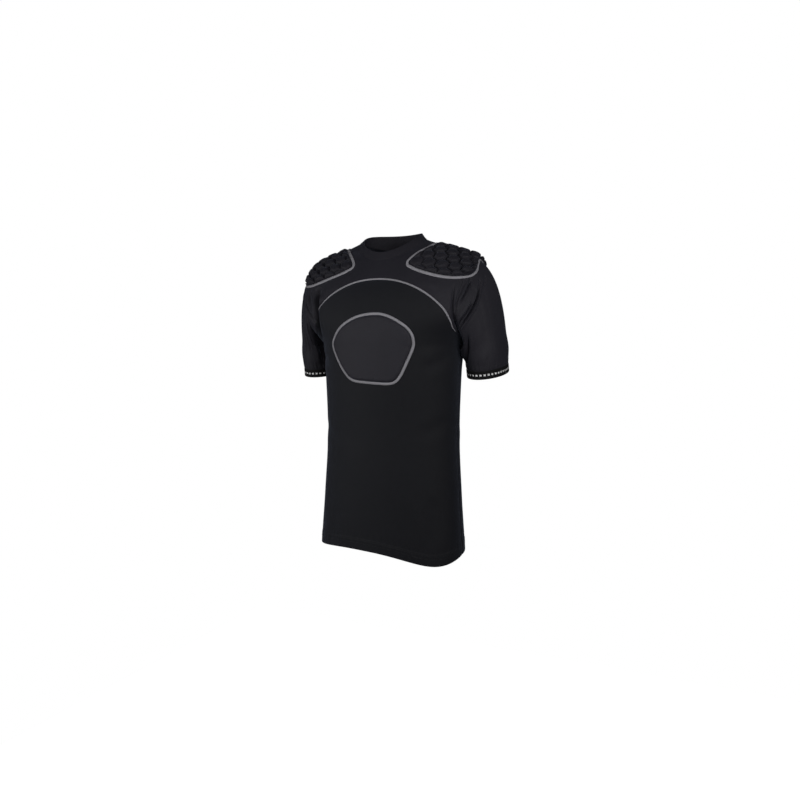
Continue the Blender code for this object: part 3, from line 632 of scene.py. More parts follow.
def through(rows, column, places):
    """A smooth curve, with no overshoot, through one column of a table at places in its first column."""
    table = np.array(rows, float)
    at, value = table[:, 0], table[:, column]
    run = np.diff(at)
    rise = np.diff(value) / run
    before, after = rise[:-1], rise[1:]
    slope = np.concatenate([rise[:1], np.zeros(len(at) - 2), rise[-1:]])
    same_way = before * after > 0
    slope[1:-1][same_way] = 2 * (before * after)[same_way] / (before + after)[same_way]
    places = np.asarray(places, float)
    k = np.clip(np.searchsorted(at, places) - 1, 0, len(run) - 1)
    share = (places - at[k]) / run[k]
    return bent(value[k], value[k + 1], slope[k] * run[k], slope[k + 1] * run[k], share)


def unit(vectors):
    return vectors / np.linalg.norm(vectors, axis=-1, keepdims=True)


def mirrored(points):
    return points * np.array([-1.0, 1.0, 1.0])


def ease(share):
    """From 0 to 1 with level ends."""
    share = np.clip(share, 0, 1)
    return share * share * (3 - 2 * share)


def body(angle, height):
    """The point of the body's form at an angle round it, in radians, and a height."""
    half_width, middle, front, back = (through(BODY_SECTIONS, k, height) for k in (1, 2, 3, 4))
    sideways = np.sign(np.sin(angle)) * abs(np.sin(angle)) ** (2 / ROUNDNESS)
    share = abs(np.cos(angle)) ** (2 / ROUNDNESS)
    y = middle + np.where(np.cos(angle) >= 0, front - middle, back - middle) * share
    return np.stack([half_width * sideways, y, np.asarray(height, float) + 0 * y], axis=-1)


def fullness(points):
    """Below 1 inside the body's form and above 1 outside it."""
    x, y, height = points[..., 0], points[..., 1], points[..., 2]
    half_width, middle, front, back = (through(BODY_SECTIONS, k, height) for k in (1, 2, 3, 4))
    depth = np.where(y < middle, middle - front, back - middle)
    return (abs(x) / half_width) ** ROUNDNESS + (abs(y - middle) / depth) ** ROUNDNESS


def body_normals(points, step=0.0002):
    """Directions straight out of the body's form."""
    slopes = [fullness(points + step * axis) - fullness(points - step * axis) for axis in np.eye(3)]
    return unit(np.stack(slopes, axis=-1))


def angle_at(sideways, height, behind=False):
    """The angle round the body at which its form is this far sideways."""
    share = np.clip(abs(sideways) / through(BODY_SECTIONS, 1, height), 0, 1)
    angle = np.sign(sideways) * np.arcsin(share ** (ROUNDNESS / 2))
    return math.pi - angle if behind else angle


def solve(low, high, is_low):
    """Halves the span between low and high until is_low changes there."""
    low, high = np.array(low, float), np.array(high, float)
    for _ in range(40):
        middle = (low + high) / 2
        lower = is_low(middle)
        low, high = np.where(lower, middle, low), np.where(lower, high, middle)
    return (low + high) / 2


def hem_drop(angle, height):
    """How far the hem's waves lower a point: all the way at the hem, nothing above the waist."""
    degrees = np.degrees(angle)
    drop = 0 * degrees
    for centre, depth, spread in HEM_WAVES:
        away = (degrees - centre + 180) % 360 - 180
        drop = drop + depth * np.exp(-((away / spread) ** 2))
    return drop * ease((HEM_WAVE_TOP - height) / (HEM_WAVE_TOP - HEM_HEIGHT))


def armhole_x(height):
    return ARMHOLE_TOP_X + ARMHOLE_SLANT * (height - ARMHOLE_TOP_HEIGHT)


def stub_passes_armhole(height):
    return through(BODY_SECTIONS, 1, height) > armhole_x(height)


ARMHOLE_HIGH = float(solve(ARMHOLE_MIDDLE_HEIGHT, 0.0, stub_passes_armhole))
ARMHOLE_LOW = float(solve(ARMHOLE_MIDDLE_HEIGHT, CUFF_CENTRE[2], stub_passes_armhole))


def armhole_height(turn):
    """Height on the armhole at a turn round it: 0 is the top, pi the underarm."""
    return (ARMHOLE_HIGH + ARMHOLE_LOW) / 2 + (ARMHOLE_HIGH - ARMHOLE_LOW) / 2 * np.cos(turn)


def armhole(turn):
    """The left armhole seam: turns up to pi run down the front, negative ones down the back."""
    height = armhole_height(turn)
    front = body(angle_at(armhole_x(height), height), height)
    back = body(angle_at(armhole_x(height), height, behind=True), height)
    return np.where((np.sin(turn) >= 0)[..., None], front, back)


def neck_seam(turn):
    """The neck seam at a turn round it, found on the body's form under an oval."""
    x = NECK_HALF_WIDTH * np.sin(turn)
    y = np.where(np.cos(turn) >= 0, -NECK_FRONT, NECK_BACK) * abs(np.cos(turn))

    def under(height):
        return fullness(np.stack([x, y, height], axis=-1)) < 1

    height = solve(0 * x + NECK_LOWEST, 0 * x + NECK_HIGHEST, under)
    return np.stack([x, y, height], axis=-1)


def yoke_seam(across, shift=0.0):
    """Places sideways and up along the yoke seam, from -1 at the right armhole to 1 at the left one."""
    end_height = armhole_height(YOKE_END_TURN)
    end_angle = angle_at(armhole_x(end_height), end_height)
    reach = np.clip(abs(across) / np.where(across < 0, YOKE_RIGHT_SHARE, 1.0), 0, 1)
    fall = np.sin(reach * math.pi / 2) ** YOKE_ARCH_POWER
    height = YOKE_PEAK_HEIGHT + (end_height - YOKE_PEAK_HEIGHT) * fall
    places = body(across * end_angle, height)[:, [0, 2]]
    along = unit(np.gradient(places, axis=0))
    return places + shift * np.stack([-along[:, 1], along[:, 0]], axis=-1)


def steps(count, length, low=-1.0, high=1.0):
    """Even steps between two values, with finer ones near both ends of a stretch of that length."""
    close = np.array(SEAM_STEPS) / length * (high - low)
    return np.unique(np.concatenate([np.linspace(low, high, count), low + close, high - close]))


def seam_edge(columns, share, far_turn, shift):
    """Angles and heights along the yoke seam, and on along both armholes to a turn round them."""
    edge = np.zeros((len(columns), 2))
    sewn = abs(columns) <= share
    places = yoke_seam(columns[sewn] / share, shift)
    edge[sewn] = np.stack([angle_at(places[:, 0], places[:, 1]), places[:, 1]], axis=-1)
    past = (abs(columns[~sewn]) - share) / (1 - share)
    heights = armhole_height(YOKE_END_TURN + (far_turn - YOKE_END_TURN) * past)
    angles = np.sign(columns[~sewn]) * angle_at(armhole_x(heights), heights)
    edge[~sewn] = np.stack([angles, heights], axis=-1)
    return edge


def neck_edge(columns, behind):
    """Angles and heights along the front or back half of the neck seam, from right to left."""
    turn = columns * math.pi / 2
    seam = neck_seam(math.pi - turn if behind else turn)
    return np.stack([angle_at(seam[:, 0], seam[:, 2], behind), seam[:, 2]], axis=-1)


def ruled(low, high, shares):
    """Angles and heights on straight rows between two edges with the same number of points."""
    share = shares[:, None, None]
    return (1 - share) * low + share * high


def front_places():
    """The front below the yoke: columns from the hem to the underarm, the armhole and the yoke seam."""
    columns = steps(FRONT_COLUMNS, BODY_ACROSS)
    top = seam_edge(columns, SEAM_SHARE_BELOW, math.pi, -SEAM_GAP / 2)
    low = np.stack([columns * math.pi / 2, 0 * columns + HEM_HEIGHT], axis=-1)
    near_hem = sizes().hem_turn / FRONT_LENGTH * np.array(HEM_ROWS)
    shares = np.unique(np.concatenate([steps(FRONT_ROWS, FRONT_LENGTH, 0.0, 1.0), near_hem]))
    return ruled(low, top, shares)


def yoke_places():
    """The upper front: columns from the armholes and the yoke seam up to the neck."""
    columns = steps(YOKE_COLUMNS, YOKE_AROUND)
    low = seam_edge(columns, SEAM_SHARE_ABOVE, 0.0, SEAM_GAP / 2)
    high = neck_edge(columns, False)
    low, high = (body(edge[:, 0], edge[:, 1])[:, [0, 2]] for edge in (low, high))
    shares = steps(YOKE_ROWS, YOKE_LENGTH, 0.0, 1.0)
    heights = low[-1, 1] + (high[-1, 1] - low[-1, 1]) * shares
    shoulder = np.stack([through(BODY_SECTIONS, 1, heights), heights], axis=-1)
    places = ruled(low, high, shares)
    bend = (shoulder - places[:, -1])[:, None, :]
    across = columns[None, :, None]
    places = places + abs(across) ** YOKE_SHOULDER_POWER * bend * np.concatenate(
        [np.sign(across), np.ones_like(across)], axis=-1)
    up = shares[:, None]
    bow = np.sin(math.pi * across[..., 0])
    places[..., 0] += YOKE_BOW * 4 * up * (1 - up) * bow * abs(bow)
    return np.stack([angle_at(places[..., 0], places[..., 1]), places[..., 1]], axis=-1)


def back_places():
    """The whole back: rows from side to side, up the side seams, the armholes and the shoulder seams."""
    across = steps(BACK_COLUMNS, BODY_ACROSS)[::-1]
    neck = neck_edge(across, True)
    near_hem = HEM_HEIGHT + sizes().hem_turn * np.array(HEM_ROWS)
    sides = np.linspace(HEM_HEIGHT, ARMHOLE_LOW, BACK_SIDE_ROWS)[:-1]
    sides = np.unique(np.concatenate([sides, near_hem]))
    turns_up = np.linspace(math.pi, 0, BACK_ARMHOLE_ROWS)
    heights = armhole_height(turns_up)
    round_armhole = np.stack([angle_at(armhole_x(heights), heights, True), heights], axis=-1)
    shoulders = steps(BACK_SHOULDER_ROWS, SHOULDER_SEAM_LENGTH, ARMHOLE_HIGH, neck[0, 1])[1:]
    seams = [np.stack([0 * run + math.pi / 2, run], axis=-1) for run in (sides, shoulders)]
    edge = np.concatenate([seams[0], round_armhole, seams[1]])
    up = ((edge[:, 1] - edge[0, 1]) / (edge[-1, 1] - edge[0, 1]))[:, None]
    bend = edge[:, 0:1] - (1 - up) * edge[0, 0] - up * edge[-1, 0]
    angles = (1 - up) * (math.pi - across * math.pi / 2) + up * neck[:, 0] + bend * across
    to_side = up * (edge[-1, 0] - neck[0, 0])
    angles = angles + to_side * np.sign(across) * abs(across) ** BACK_CORNER_POWER
    heights = (1 - up) * HEM_HEIGHT + up * neck[:, 1]
    return np.stack([angles, heights], axis=-1)


def arm_axes():
    """Down the arm, outwards and forwards at the cuff."""
    down = unit(np.array(ARM_DIRECTION))
    outwards = unit(np.array([1.0, 0, 0]) - down[0] * down)
    return down, outwards, np.cross(down, outwards)


def cuff_ring(turn, up):
    """The ring of the left cuff at a distance up from its open end."""
    down, outwards, forwards = arm_axes()
    return (
        np.array(CUFF_CENTRE)
        - np.asarray(up)[..., None] * down
        + CUFF_HALF_WIDTH * np.cos(turn)[..., None] * outwards
        + CUFF_HALF_DEPTH * np.sin(turn)[..., None] * forwards
    )


def smooth_sleeve(turn, reach):
    """The left sleeve without creases: one curve for each turn, from the armhole to the cuff."""
    degrees = np.degrees(turn) % 360
    pull = through(SLEEVE_STARTS, 1, degrees)[..., None]
    start_reach = through(SLEEVE_STARTS, 2, degrees)[..., None]
    down, outwards, forwards = arm_axes()
    start = armhole(turn)
    along_seam = unit(armhole(turn + 0.001) - armhole(turn - 0.001))
    leave = np.cross(body_normals(start), along_seam)
    leave = leave * np.sign(leave[..., 0:1])
    leave = start_reach * unit((1 - pull) * leave + pull * down)
    end = cuff_ring(turn, 0 * turn + CUFF_HEIGHT)
    arrive = np.linalg.norm(end - start, axis=-1, keepdims=True) * down
    share = reach[..., None]
    curve = bent(start, end, leave, arrive, share)
    around = np.cos(turn)[..., None] * outwards + np.sin(turn)[..., None] * forwards
    outer_share = (0.5 + 0.5 * np.cos(turn))[..., None]
    low_share = np.clip((share - BLOUSE_START) / (1 - BLOUSE_START), 0, 1)
    swell = SLEEVE_BLOUSE * outer_share * np.sin(math.pi * low_share) ** 2
    return curve + swell * around


def sleeve_normals(turn, reach, step=0.004):
    """Directions out of the smooth left sleeve."""
    inside = np.clip(reach, SLEEVE_NORMALS_START, 1 - step)
    around = smooth_sleeve(turn + step, inside) - smooth_sleeve(turn - step, inside)
    along = smooth_sleeve(turn, inside + step) - smooth_sleeve(turn, inside - step)
    return unit(np.cross(around, along))


def armhole_normals(turn):
    """Directions halfway between the body's and the sleeve's where they are sewn together."""
    return unit(body_normals(armhole(turn)) + sleeve_normals(turn, 0 * turn))


def armhole_away():
    """Straight out of the left armhole's plane, away from the body."""
    return unit(np.array([1.0, 0.0, -ARMHOLE_SLANT]))


def smooth_path(points, count=CREASE_STEPS):
    """A smooth open curve through a few rows of numbers, in so many steps between each two."""
    points = np.array(points, float)
    before, after = 2 * points[:1] - points[1:2], 2 * points[-1:] - points[-2:-1]
    return bends(np.concatenate([before, points, after]), count)


def crease_lift(places, creases, scale=(1.0, 1.0)):
    """How far creases move cloth out at flat places; scale turns a path's units into metres."""
    lift = np.zeros(places.shape[:-1])
    for path, width, depth, left_lip, right_lip in creases:
        line = smooth_path(np.array(path) * np.array(scale))
        nearest = np.full(lift.shape, np.inf)
        side, along = np.zeros(lift.shape), np.zeros(lift.shape)
        for k, (start, end) in enumerate(zip(line, line[1:])):
            run = end - start
            offset = places - start
            share = np.clip(offset @ run / (run @ run), 0, 1)
            away = np.linalg.norm(offset - share[..., None] * run, axis=-1)
            closer = away < nearest
            nearest = np.where(closer, away, nearest)
            side = np.where(closer, run[0] * offset[..., 1] - run[1] * offset[..., 0], side)
            along = np.where(closer, (k + share) / (len(line) - 1), along)
        fade = ease(along / CREASE_TAPER[0]) * ease((1 - along) / CREASE_TAPER[1])
        trough = np.exp(-((nearest / width) ** 2))
        lip = np.exp(-(((nearest - LIP_AWAY * width) / (LIP_WIDTH * width)) ** 2))
        lip = lip * np.where(side > 0, left_lip, right_lip)
        lift = lift + depth * fade * (lip - trough)
    return lift


def tucked(points):
    """Points of any piece, drawn in where tucks pass them, so that pieces sewn together stay together."""
    shape = points.shape
    points = points.reshape(-1, 3)
    for tuck in TUCKS:
        line = smooth_path(tuck, TUCK_STEPS)
        along = body(angle_at(line[:, 0], line[:, 1]), line[:, 1])
        inwards = -body_normals(along)
        apart = np.sum(points**2, axis=1)[:, None] + np.sum(along**2, axis=1) - 2 * points @ along.T
        nearest = np.argmin(apart, axis=1)
        away = np.maximum(apart[np.arange(len(points)), nearest], 0)
        depth = line[nearest, 2] * np.exp(-away / line[nearest, 3] ** 2)
        points = points + depth[:, None] * inwards[nearest]
    return points.reshape(shape)


def puckers(around):
    """Small uneven gathers at places round a piece, in turns, from about -2 to 2."""
    total = 0 * around
    for waves, start, share in PUCKER_WAVES:
        total = total + share * np.sin(2 * math.pi * waves * around + start)
    return total


def runs(points, wraps=False):
    """Distances along a grid to its first row, last row and, unless it wraps, first and last column."""
    down = np.cumsum(np.linalg.norm(np.diff(points, axis=0), axis=-1), axis=0)
    down = np.concatenate([0 * down[:1], down])
    along = np.cumsum(np.linalg.norm(np.diff(points, axis=1), axis=-1), axis=1)
    along = np.concatenate([0 * along[:, :1], along], axis=1)
    ends = [] if wraps else [along, along[:, -1:] - along]
    return [down, down[-1:] - down, *ends], along - along[:, along.shape[1] // 2][:, None]


def seam_dip(distances):
    return SEAM_DIP * sum(np.exp(-((distance / SEAM_SOFT) ** 2)) for distance in distances)


def seam_fade(distances):
    return np.prod([ease(distance / CREASE_FADE) for distance in distances], axis=0)


def body_panel(places, creases, sewn, flush=(), behind=False):
    """A body panel's outer and inner points, directions and flat places, at a grid of angles and heights.

    sewn are the numbers of its sewn edges: 0 first row, 1 last row, 2 first column, 3 last column. The
    cloth dips to them, but not to those that are flush.
    """
    angles, heights = places[..., 0], places[..., 1]
    points = body(angles, heights - hem_drop(angles, heights))
    out = body_normals(points)
    x, height = points[..., 0], points[..., 2]
    on_armhole = (abs(abs(x) - armhole_x(height)) < ON_SEAM) & (height > ARMHOLE_LOW - ON_SEAM)
    middle, half = (ARMHOLE_HIGH + ARMHOLE_LOW) / 2, (ARMHOLE_HIGH - ARMHOLE_LOW) / 2
    turn = np.arccos(np.clip((height - middle) / half, -1, 1))
    seam_out = armhole_normals(-turn if behind else turn)
    away = np.broadcast_to(armhole_away(), points.shape)
    right = (x < 0)[..., None]
    seam_out = np.where(right, mirrored(seam_out), seam_out)
    away = np.where(right, mirrored(away), away)
    out = np.where(on_armhole[..., None], seam_out, out)
    points = points - np.where(on_armhole[..., None], SEAM_GAP / 2 * away, 0.0)
    on_side = abs(abs(np.sin(angles)) - 1) < NOTHING
    points[..., 1] += np.where(on_side, SEAM_GAP / 2 if behind else -SEAM_GAP / 2, 0.0)
    edges, across = runs(points)
    sewn_edges = [edges[k] for k in sewn]
    dipped = [edges[k] for k in sewn if k not in flush]
    lift = crease_lift(points[..., [0, 2]], creases) * seam_fade(sewn_edges) - seam_dip(dipped)
    thick = sizes().cloth + 0 * lift
    if 0 not in sewn:
        turn_up = sizes().hem_turn
        turned = ease((turn_up * HEM_FOLD_END - edges[0]) / (turn_up * HEM_FOLD_SOFT))
        gather = np.exp(-((edges[0] - turn_up) / HEM_PUCKER_REACH) ** 2)
        gather = HEM_PUCKER * puckers(across / HEM_PUCKER_TURN) * gather
        lift = lift + HEM_STEP * turned + gather
        thick = thick + HEM_THICKER * HEM_STEP * turned
    outer = points + lift[..., None] * out
    inner = outer - thick[..., None] * out
    return tucked(outer), tucked(inner), out, np.stack([across, edges[0]], axis=-1)


def front_panel():
    return body_panel(front_places(), FRONT_CREASES, (1, 2, 3))


def yoke_panel():
    return body_panel(yoke_places(), YOKE_CREASES, (0, 1, 2, 3), (1,))


def back_panel():
    return body_panel(back_places(), BACK_CREASES, (1, 2, 3), (1,), True)


def sleeve_panel(creases, right=False):
    """A sleeve's outer and inner points, directions and flat places, from the armhole to the cuff.

    The right sleeve is given as its mirror image, but takes the tucks of its own side.
    """
    first, last = SLEEVE_FRONT
    front = np.linspace(first, last, SLEEVE_FRONT_COLUMNS, endpoint=False)
    other = np.linspace(last, first + 360, SLEEVE_OTHER_COLUMNS, endpoint=False)
    turn = np.radians(np.concatenate([other[other >= 180] - 360, front, other[other < 180]]))
    close = np.array(SEAM_STEPS) / SLEEVE_LENGTH
    folded = np.linspace(0, SLEEVE_FOLDED, SLEEVE_FOLDED_ROWS)
    reach = np.concatenate([folded, np.linspace(SLEEVE_FOLDED, 1, SLEEVE_PLAIN_ROWS), close, 1 - close])
    reach, turn = np.meshgrid(np.unique(reach), turn, indexing="ij")
    out = sleeve_normals(turn, reach)
    points = smooth_sleeve(turn, reach)
    edges, across = runs(points, wraps=True)
    places = np.stack([SLEEVE_AROUND * turn, SLEEVE_LENGTH * reach], axis=-1)
    scale = (math.radians(1) * SLEEVE_AROUND, SLEEVE_LENGTH)
    lift = crease_lift(places, creases, scale) * seam_fade(edges)
    gather = np.exp(-((edges[1] - CUFF_PUCKER_AT) / CUFF_PUCKER_REACH) ** 2)
    gather = gather * ease(edges[1] / CUFF_PUCKER_START)
    lift = lift + CUFF_PUCKER * puckers(turn / (2 * math.pi)) * gather - seam_dip(edges)
    out[0] = armhole_normals(turn[0])
    points[0] += SEAM_GAP / 2 * armhole_away()
    outer = points + lift[..., None] * out
    inner = outer - sizes().cloth * out
    flat = np.stack([across, edges[0]], axis=-1)
    if right:
        return mirrored(tucked(mirrored(outer))), mirrored(tucked(mirrored(inner))), out, flat
    return tucked(outer), tucked(inner), out, flat


def cuff_panel():
    """The left cuff's outer and inner points, directions and flat places, from its seam down."""
    turn = np.linspace(-math.pi, math.pi, CUFF_COLUMNS, endpoint=False)
    share = np.linspace(0, 1, CUFF_ROWS)
    share, turn = np.meshgrid(share, turn, indexing="ij")
    points = cuff_ring(turn, (CUFF_HEIGHT - SEAM_GAP) * (1 - share))
    out = unit(points - points.mean(axis=1, keepdims=True))
    edges, across = runs(points, wraps=True)
    rib = CUFF_RIB_DEPTH * np.cos(2 * math.pi * CUFF_RIBS * share)
    rounding = CUFF_ROUND_DEPTH * (1 - ease(np.minimum(edges[0], edges[1]) / CUFF_ROUND))
    outer = points + (rib - rounding)[..., None] * out
    inner = points - (CUFF_CLOTH - rounding)[..., None] * out
    return outer, inner, out, np.stack([across, edges[0]], axis=-1)


def collar_panel():
    """The standing collar's outer and inner points, directions and flat places, from the neck seam up."""
    turn = np.linspace(-math.pi, math.pi, COLLAR_COLUMNS, endpoint=False)
    low = neck_seam(turn)
    depth = np.where(np.cos(turn) >= 0, -COLLAR_TOP_FRONT, COLLAR_TOP_BACK) * abs(np.cos(turn))
    dip = ((1 + np.cos(turn)) / 2) ** COLLAR_DIP_POWER
    height = COLLAR_BACK_HEIGHT + (COLLAR_FRONT_HEIGHT - COLLAR_BACK_HEIGHT) * dip
    high = np.stack([COLLAR_TOP_HALF_WIDTH * np.sin(turn), depth, height], axis=-1)
    upwards = unit(high - low)
    low = low + COLLAR_RISE * upwards
    around = np.roll(low, -1, axis=0) - np.roll(low, 1, axis=0)
    out = unit(np.cross(around, upwards))
    shares = steps(COLLAR_ROWS, COLLAR_LENGTH, 0.0, 1.0)
    shares = np.unique(np.concatenate([shares, 1 - np.array(COLLAR_TOP_STEPS) / COLLAR_LENGTH]))
    points = low + shares[:, None, None] * (high - low)
    out = np.broadcast_to(out, points.shape)
    edges, across = runs(points, wraps=True)
    half = COLLAR_CLOTH / 2
    near_top = np.clip(1 - edges[1] / half, 0, 1)
    tuck = half * (1 - np.sqrt(np.clip(1 - near_top**2, 0, 1)))
    outer = points - tuck[..., None] * out
    inner = points - (COLLAR_CLOTH - tuck)[..., None] * out
    return outer, inner, out, np.stack([across, edges[0]], axis=-1)


def closed_curve(points, count):
    """Places evenly spaced along a smooth closed curve through the points, and its length."""
    points = np.array(points, float)
    curve = bends(np.concatenate([points[-1:], points, points[:2]]), OUTLINE_BENDS)
    lengths = lengths_along(curve)
    wanted = np.linspace(0, lengths[-1], count, endpoint=False)
    return along_line(wanted, lengths, curve), lengths[-1]


def outwards_of(outline, centre):
    """Directions away from a closed outline, in its own plane."""
    along = unit(np.roll(outline, -1, axis=0) - np.roll(outline, 1, axis=0))
    away = np.stack([-along[:, 1], along[:, 0]], axis=-1)
    return away * np.sign(np.sum(away * (outline - centre)))


def inside_of(outline, places):
    """How far inside a closed outline the places of a grid are."""
    return np.array([np.linalg.norm(row[:, None] - outline, axis=-1).min(axis=1) for row in places])


def on_front(places):
    """Points and directions out of the front at places sideways and up."""
    points = body(angle_at(places[..., 0], places[..., 1]), places[..., 1])
    return points, body_normals(points)


def grid_faces(rows, columns, wraps):
    """Four-cornered faces over a grid of points numbered row by row."""
    r = np.arange(rows - 1)[:, None]
    c = np.arange(columns if wraps else columns - 1)[None, :]
    d = (c + 1) % columns
    corners = [r * columns + c, r * columns + d, (r + 1) * columns + d, (r + 1) * columns + c]
    return np.stack(np.broadcast_arrays(*corners), axis=-1).reshape(-1, 4)


def form_tree():
    """The left shoulder's smooth form, finely divided."""
    up, across, down, around = FORM_STEPS
    levels, shares = np.linspace(FORM_LOWEST, 0.0, up), np.linspace(0, 1, across)
    height, share = np.meshgrid(levels, shares, indexing="ij")
    reaches = np.linspace(0, FORM_SLEEVE_REACH, down)
    turn = np.linspace(-math.pi, math.pi, around, endpoint=False)
    reach, turn = np.meshgrid(reaches, turn, indexing="ij")
    end = angle_at(armhole_x(height), height)
    grids = (
        (body(share * end, height), False),
        (body(math.pi - share * end, height), False),
        (smooth_sleeve(turn, reach), True),
    )
    corners, faces = [], []
    for grid, wraps in grids:
        faces.extend((grid_faces(*grid.shape[:2], wraps) + len(corners)).tolist())
        corners.extend(Vector(point) for point in grid.reshape(-1, 3))
    return BVHTree.FromPolygons(corners, faces)


def on_shoulder(form, places):
    """Points on the left shoulder at places along its ridge and down from it, and directions out of it.

    Past the fan's start the way along the ridge turns outwards round the shoulder.
    """
    points, normals = [], []
    for sideways, down in places.reshape(-1, 2):
        tilt = down / SHOULDER_RADIUS
        fan = max(0.0, sideways - SHOULDER_FAN_START) / SHOULDER_RADIUS
        towards = Vector((math.sin(fan), -math.cos(fan) * math.sin(tilt), math.cos(fan) * math.cos(tilt)))
        start = Vector((min(sideways, SHOULDER_FAN_START), SHOULDER_AXIS_Y, SHOULDER_AXIS_HEIGHT))
        point, normal, _, _ = form.ray_cast(start, towards)
        if point is None:
            point, normal, _, _ = form.find_nearest(start + SHOULDER_RADIUS * towards)
        points.append(point)
        normals.append(normal if normal.dot(towards) > 0 else -normal)
    shape = places.shape[:-1] + (3,)
    return np.array(points).reshape(shape), np.array(normals).reshape(shape)


def shoulder_outline(drop):
    """Corners of a shoulder pad's outline, with its outer end lower in front by the drop."""
    front, back = [], []
    for along, tilt in SHOULDER_PAD_OUTLINE:
        down = math.radians(tilt) * SHOULDER_RADIUS
        end = float(ease((along - PAD_END_START) / PAD_END_REACH)) * min(1.0, tilt / PAD_END_TILT)
        front.append((along, down + drop * end))
        back.append((along - PAD_BACK_PULL * end, -down))
    return front + back[-2:0:-1]


def smoothed(field, passes):
    """A grid of vectors that wraps along its columns, evened out with its neighbours."""
    for _ in range(passes):
        field = (np.roll(field, 1, axis=1) + 2 * field + np.roll(field, -1, axis=1)) / 4
        ends = np.concatenate([field[:1], field, field[-1:]])
        field = (ends[:-2] + 2 * ends[1:-1] + ends[2:]) / 4
    return field


def cell_grooves(places):
    """Distance of places on a shoulder pad from the nearest groove, and from their own cell's middle."""
    lattice = np.linalg.inv(np.array([CELL_STEP_ALONG, CELL_STEP_DOWN]).T)
    number = (places - np.array(CELL_MIDDLE)) @ lattice.T
    even = CELL_PITCH * np.array([[math.sqrt(0.75), 0.5], [0.0, 1.0]])
    place = number @ even
    near = np.round(number)
    around = np.array([(i, j) for i in (-1, 0, 1) for j in (-1, 0, 1)])
    middles = (near[..., None, :] + around) @ even
    away = np.sum((place[..., None, :] - middles) ** 2, axis=-1)
    order = np.argsort(away, axis=-1)
    own = np.take_along_axis(middles, order[..., :1, None], axis=-2)
    apart = np.linalg.norm(middles - own, axis=-1)
    own_away = np.take_along_axis(away, order[..., :1], axis=-1)
    edge = (away - own_away) / (2 * np.maximum(apart, NOTHING))
    edge = np.where(apart > NOTHING, edge, np.inf)
    return edge.min(axis=-1), np.sqrt(own_away[..., 0])


def pad_slope(from_edge):
    """From 0 at a pad's outline to 1 where its top is level."""
    return 1 - np.clip(1 - from_edge / sizes().pad_slope, 0, 1) ** PAD_ROUND_POWER


def foam_height(places, from_edge, outer_share):
    """Height of a shoulder pad's foam cells over the cloth."""
    size = sizes()
    along = places[..., 0]
    groove, middle = cell_grooves(places)
    groove = np.sqrt(groove**2 + size.groove_width**2) - size.groove_width
    dome = 1 - np.clip(1 - groove / size.groove_round, 0, 1) ** CELL_ROUND_POWER
    crown = 1 - CELL_SINK * (middle / CELL_PITCH) ** 2
    full = size.neck_share + (1 - size.neck_share) * ease((along - NECK_END[0]) / NECK_END[1])
    full = full + (outer_share - 1) * ease((along - OUTER_END[0]) / OUTER_END[1])
    top = size.groove_floor + (full * size.foam_rise * crown - size.groove_floor) * dome
    return size.pad_edge + (top - size.pad_edge) * pad_slope(from_edge)


def chest_height(places, from_edge, middle_height):
    """Height of the chest pad: level foam with a rounded edge, a little gathered where it is sewn."""
    size = sizes()
    around = np.arctan2(places[..., 0], places[..., 1] - middle_height) / (2 * math.pi)
    gather = np.exp(-((from_edge - PAD_PUCKER_AT) / PAD_PUCKER_REACH) ** 2)
    gather = PAD_PUCKER * puckers(around) * gather
    return size.pad_edge + (size.chest_rise - size.pad_edge) * pad_slope(from_edge) + gather


class Value:
    """A number, colour, vector or shader among nodes, so that shader maths reads as Python."""

    def __init__(self, nodes, socket):
        self.nodes = nodes
        self.socket = socket

    def math(self, operation, *others):
        return self.nodes.node("ShaderNodeMath", {"operation": operation}, [self, *others])

    def __add__(self, other):
        return self.math("ADD", other)

    __radd__ = __add__

    def __sub__(self, other):
        return self.math("SUBTRACT", other)

    def __rsub__(self, other):
        return self.nodes.node("ShaderNodeMath", {"operation": "SUBTRACT"}, [other, self])

    def __mul__(self, other):
        return self.math("MULTIPLY", other)

    __rmul__ = __mul__

    def __truediv__(self, other):
        return self.math("DIVIDE", other)

    def fraction(self):
        return self.math("FRACT")

    def sine(self):
        return self.math("SINE")

    def size(self):
        return self.math("ABSOLUTE")

    def swing(self):
        """From 1 at whole numbers to 0 halfway between them."""
        return (self.fraction() - 0.5).size() * 2

    def rise(self, low, high):
        """From 0 where the value is low to 1 where it is high."""
        return self.nodes.node(
            "ShaderNodeMapRange", {"interpolation_type": "SMOOTHSTEP"},
            {"Value": self, "From Min": low, "From Max": high})


class Nodes:
    """The nodes of a material or of the world."""

    def __init__(self, owner):
        owner.use_nodes = True
        self.tree = owner.node_tree

    def node(self, kind, settings, inputs, output=0):
        """A new node: its settings first, then the values or links of its sockets."""
        made = self.tree.nodes.new(kind)
        for name, value in settings.items():
            setattr(made, name, value)
        for socket, value in inputs.items() if isinstance(inputs, dict) else enumerate(inputs):
            if isinstance(value, Value):
                self.tree.links.new(value.socket, made.inputs[socket])
            else:
                made.inputs[socket].default_value = value
        return Value(self, made.outputs[output])


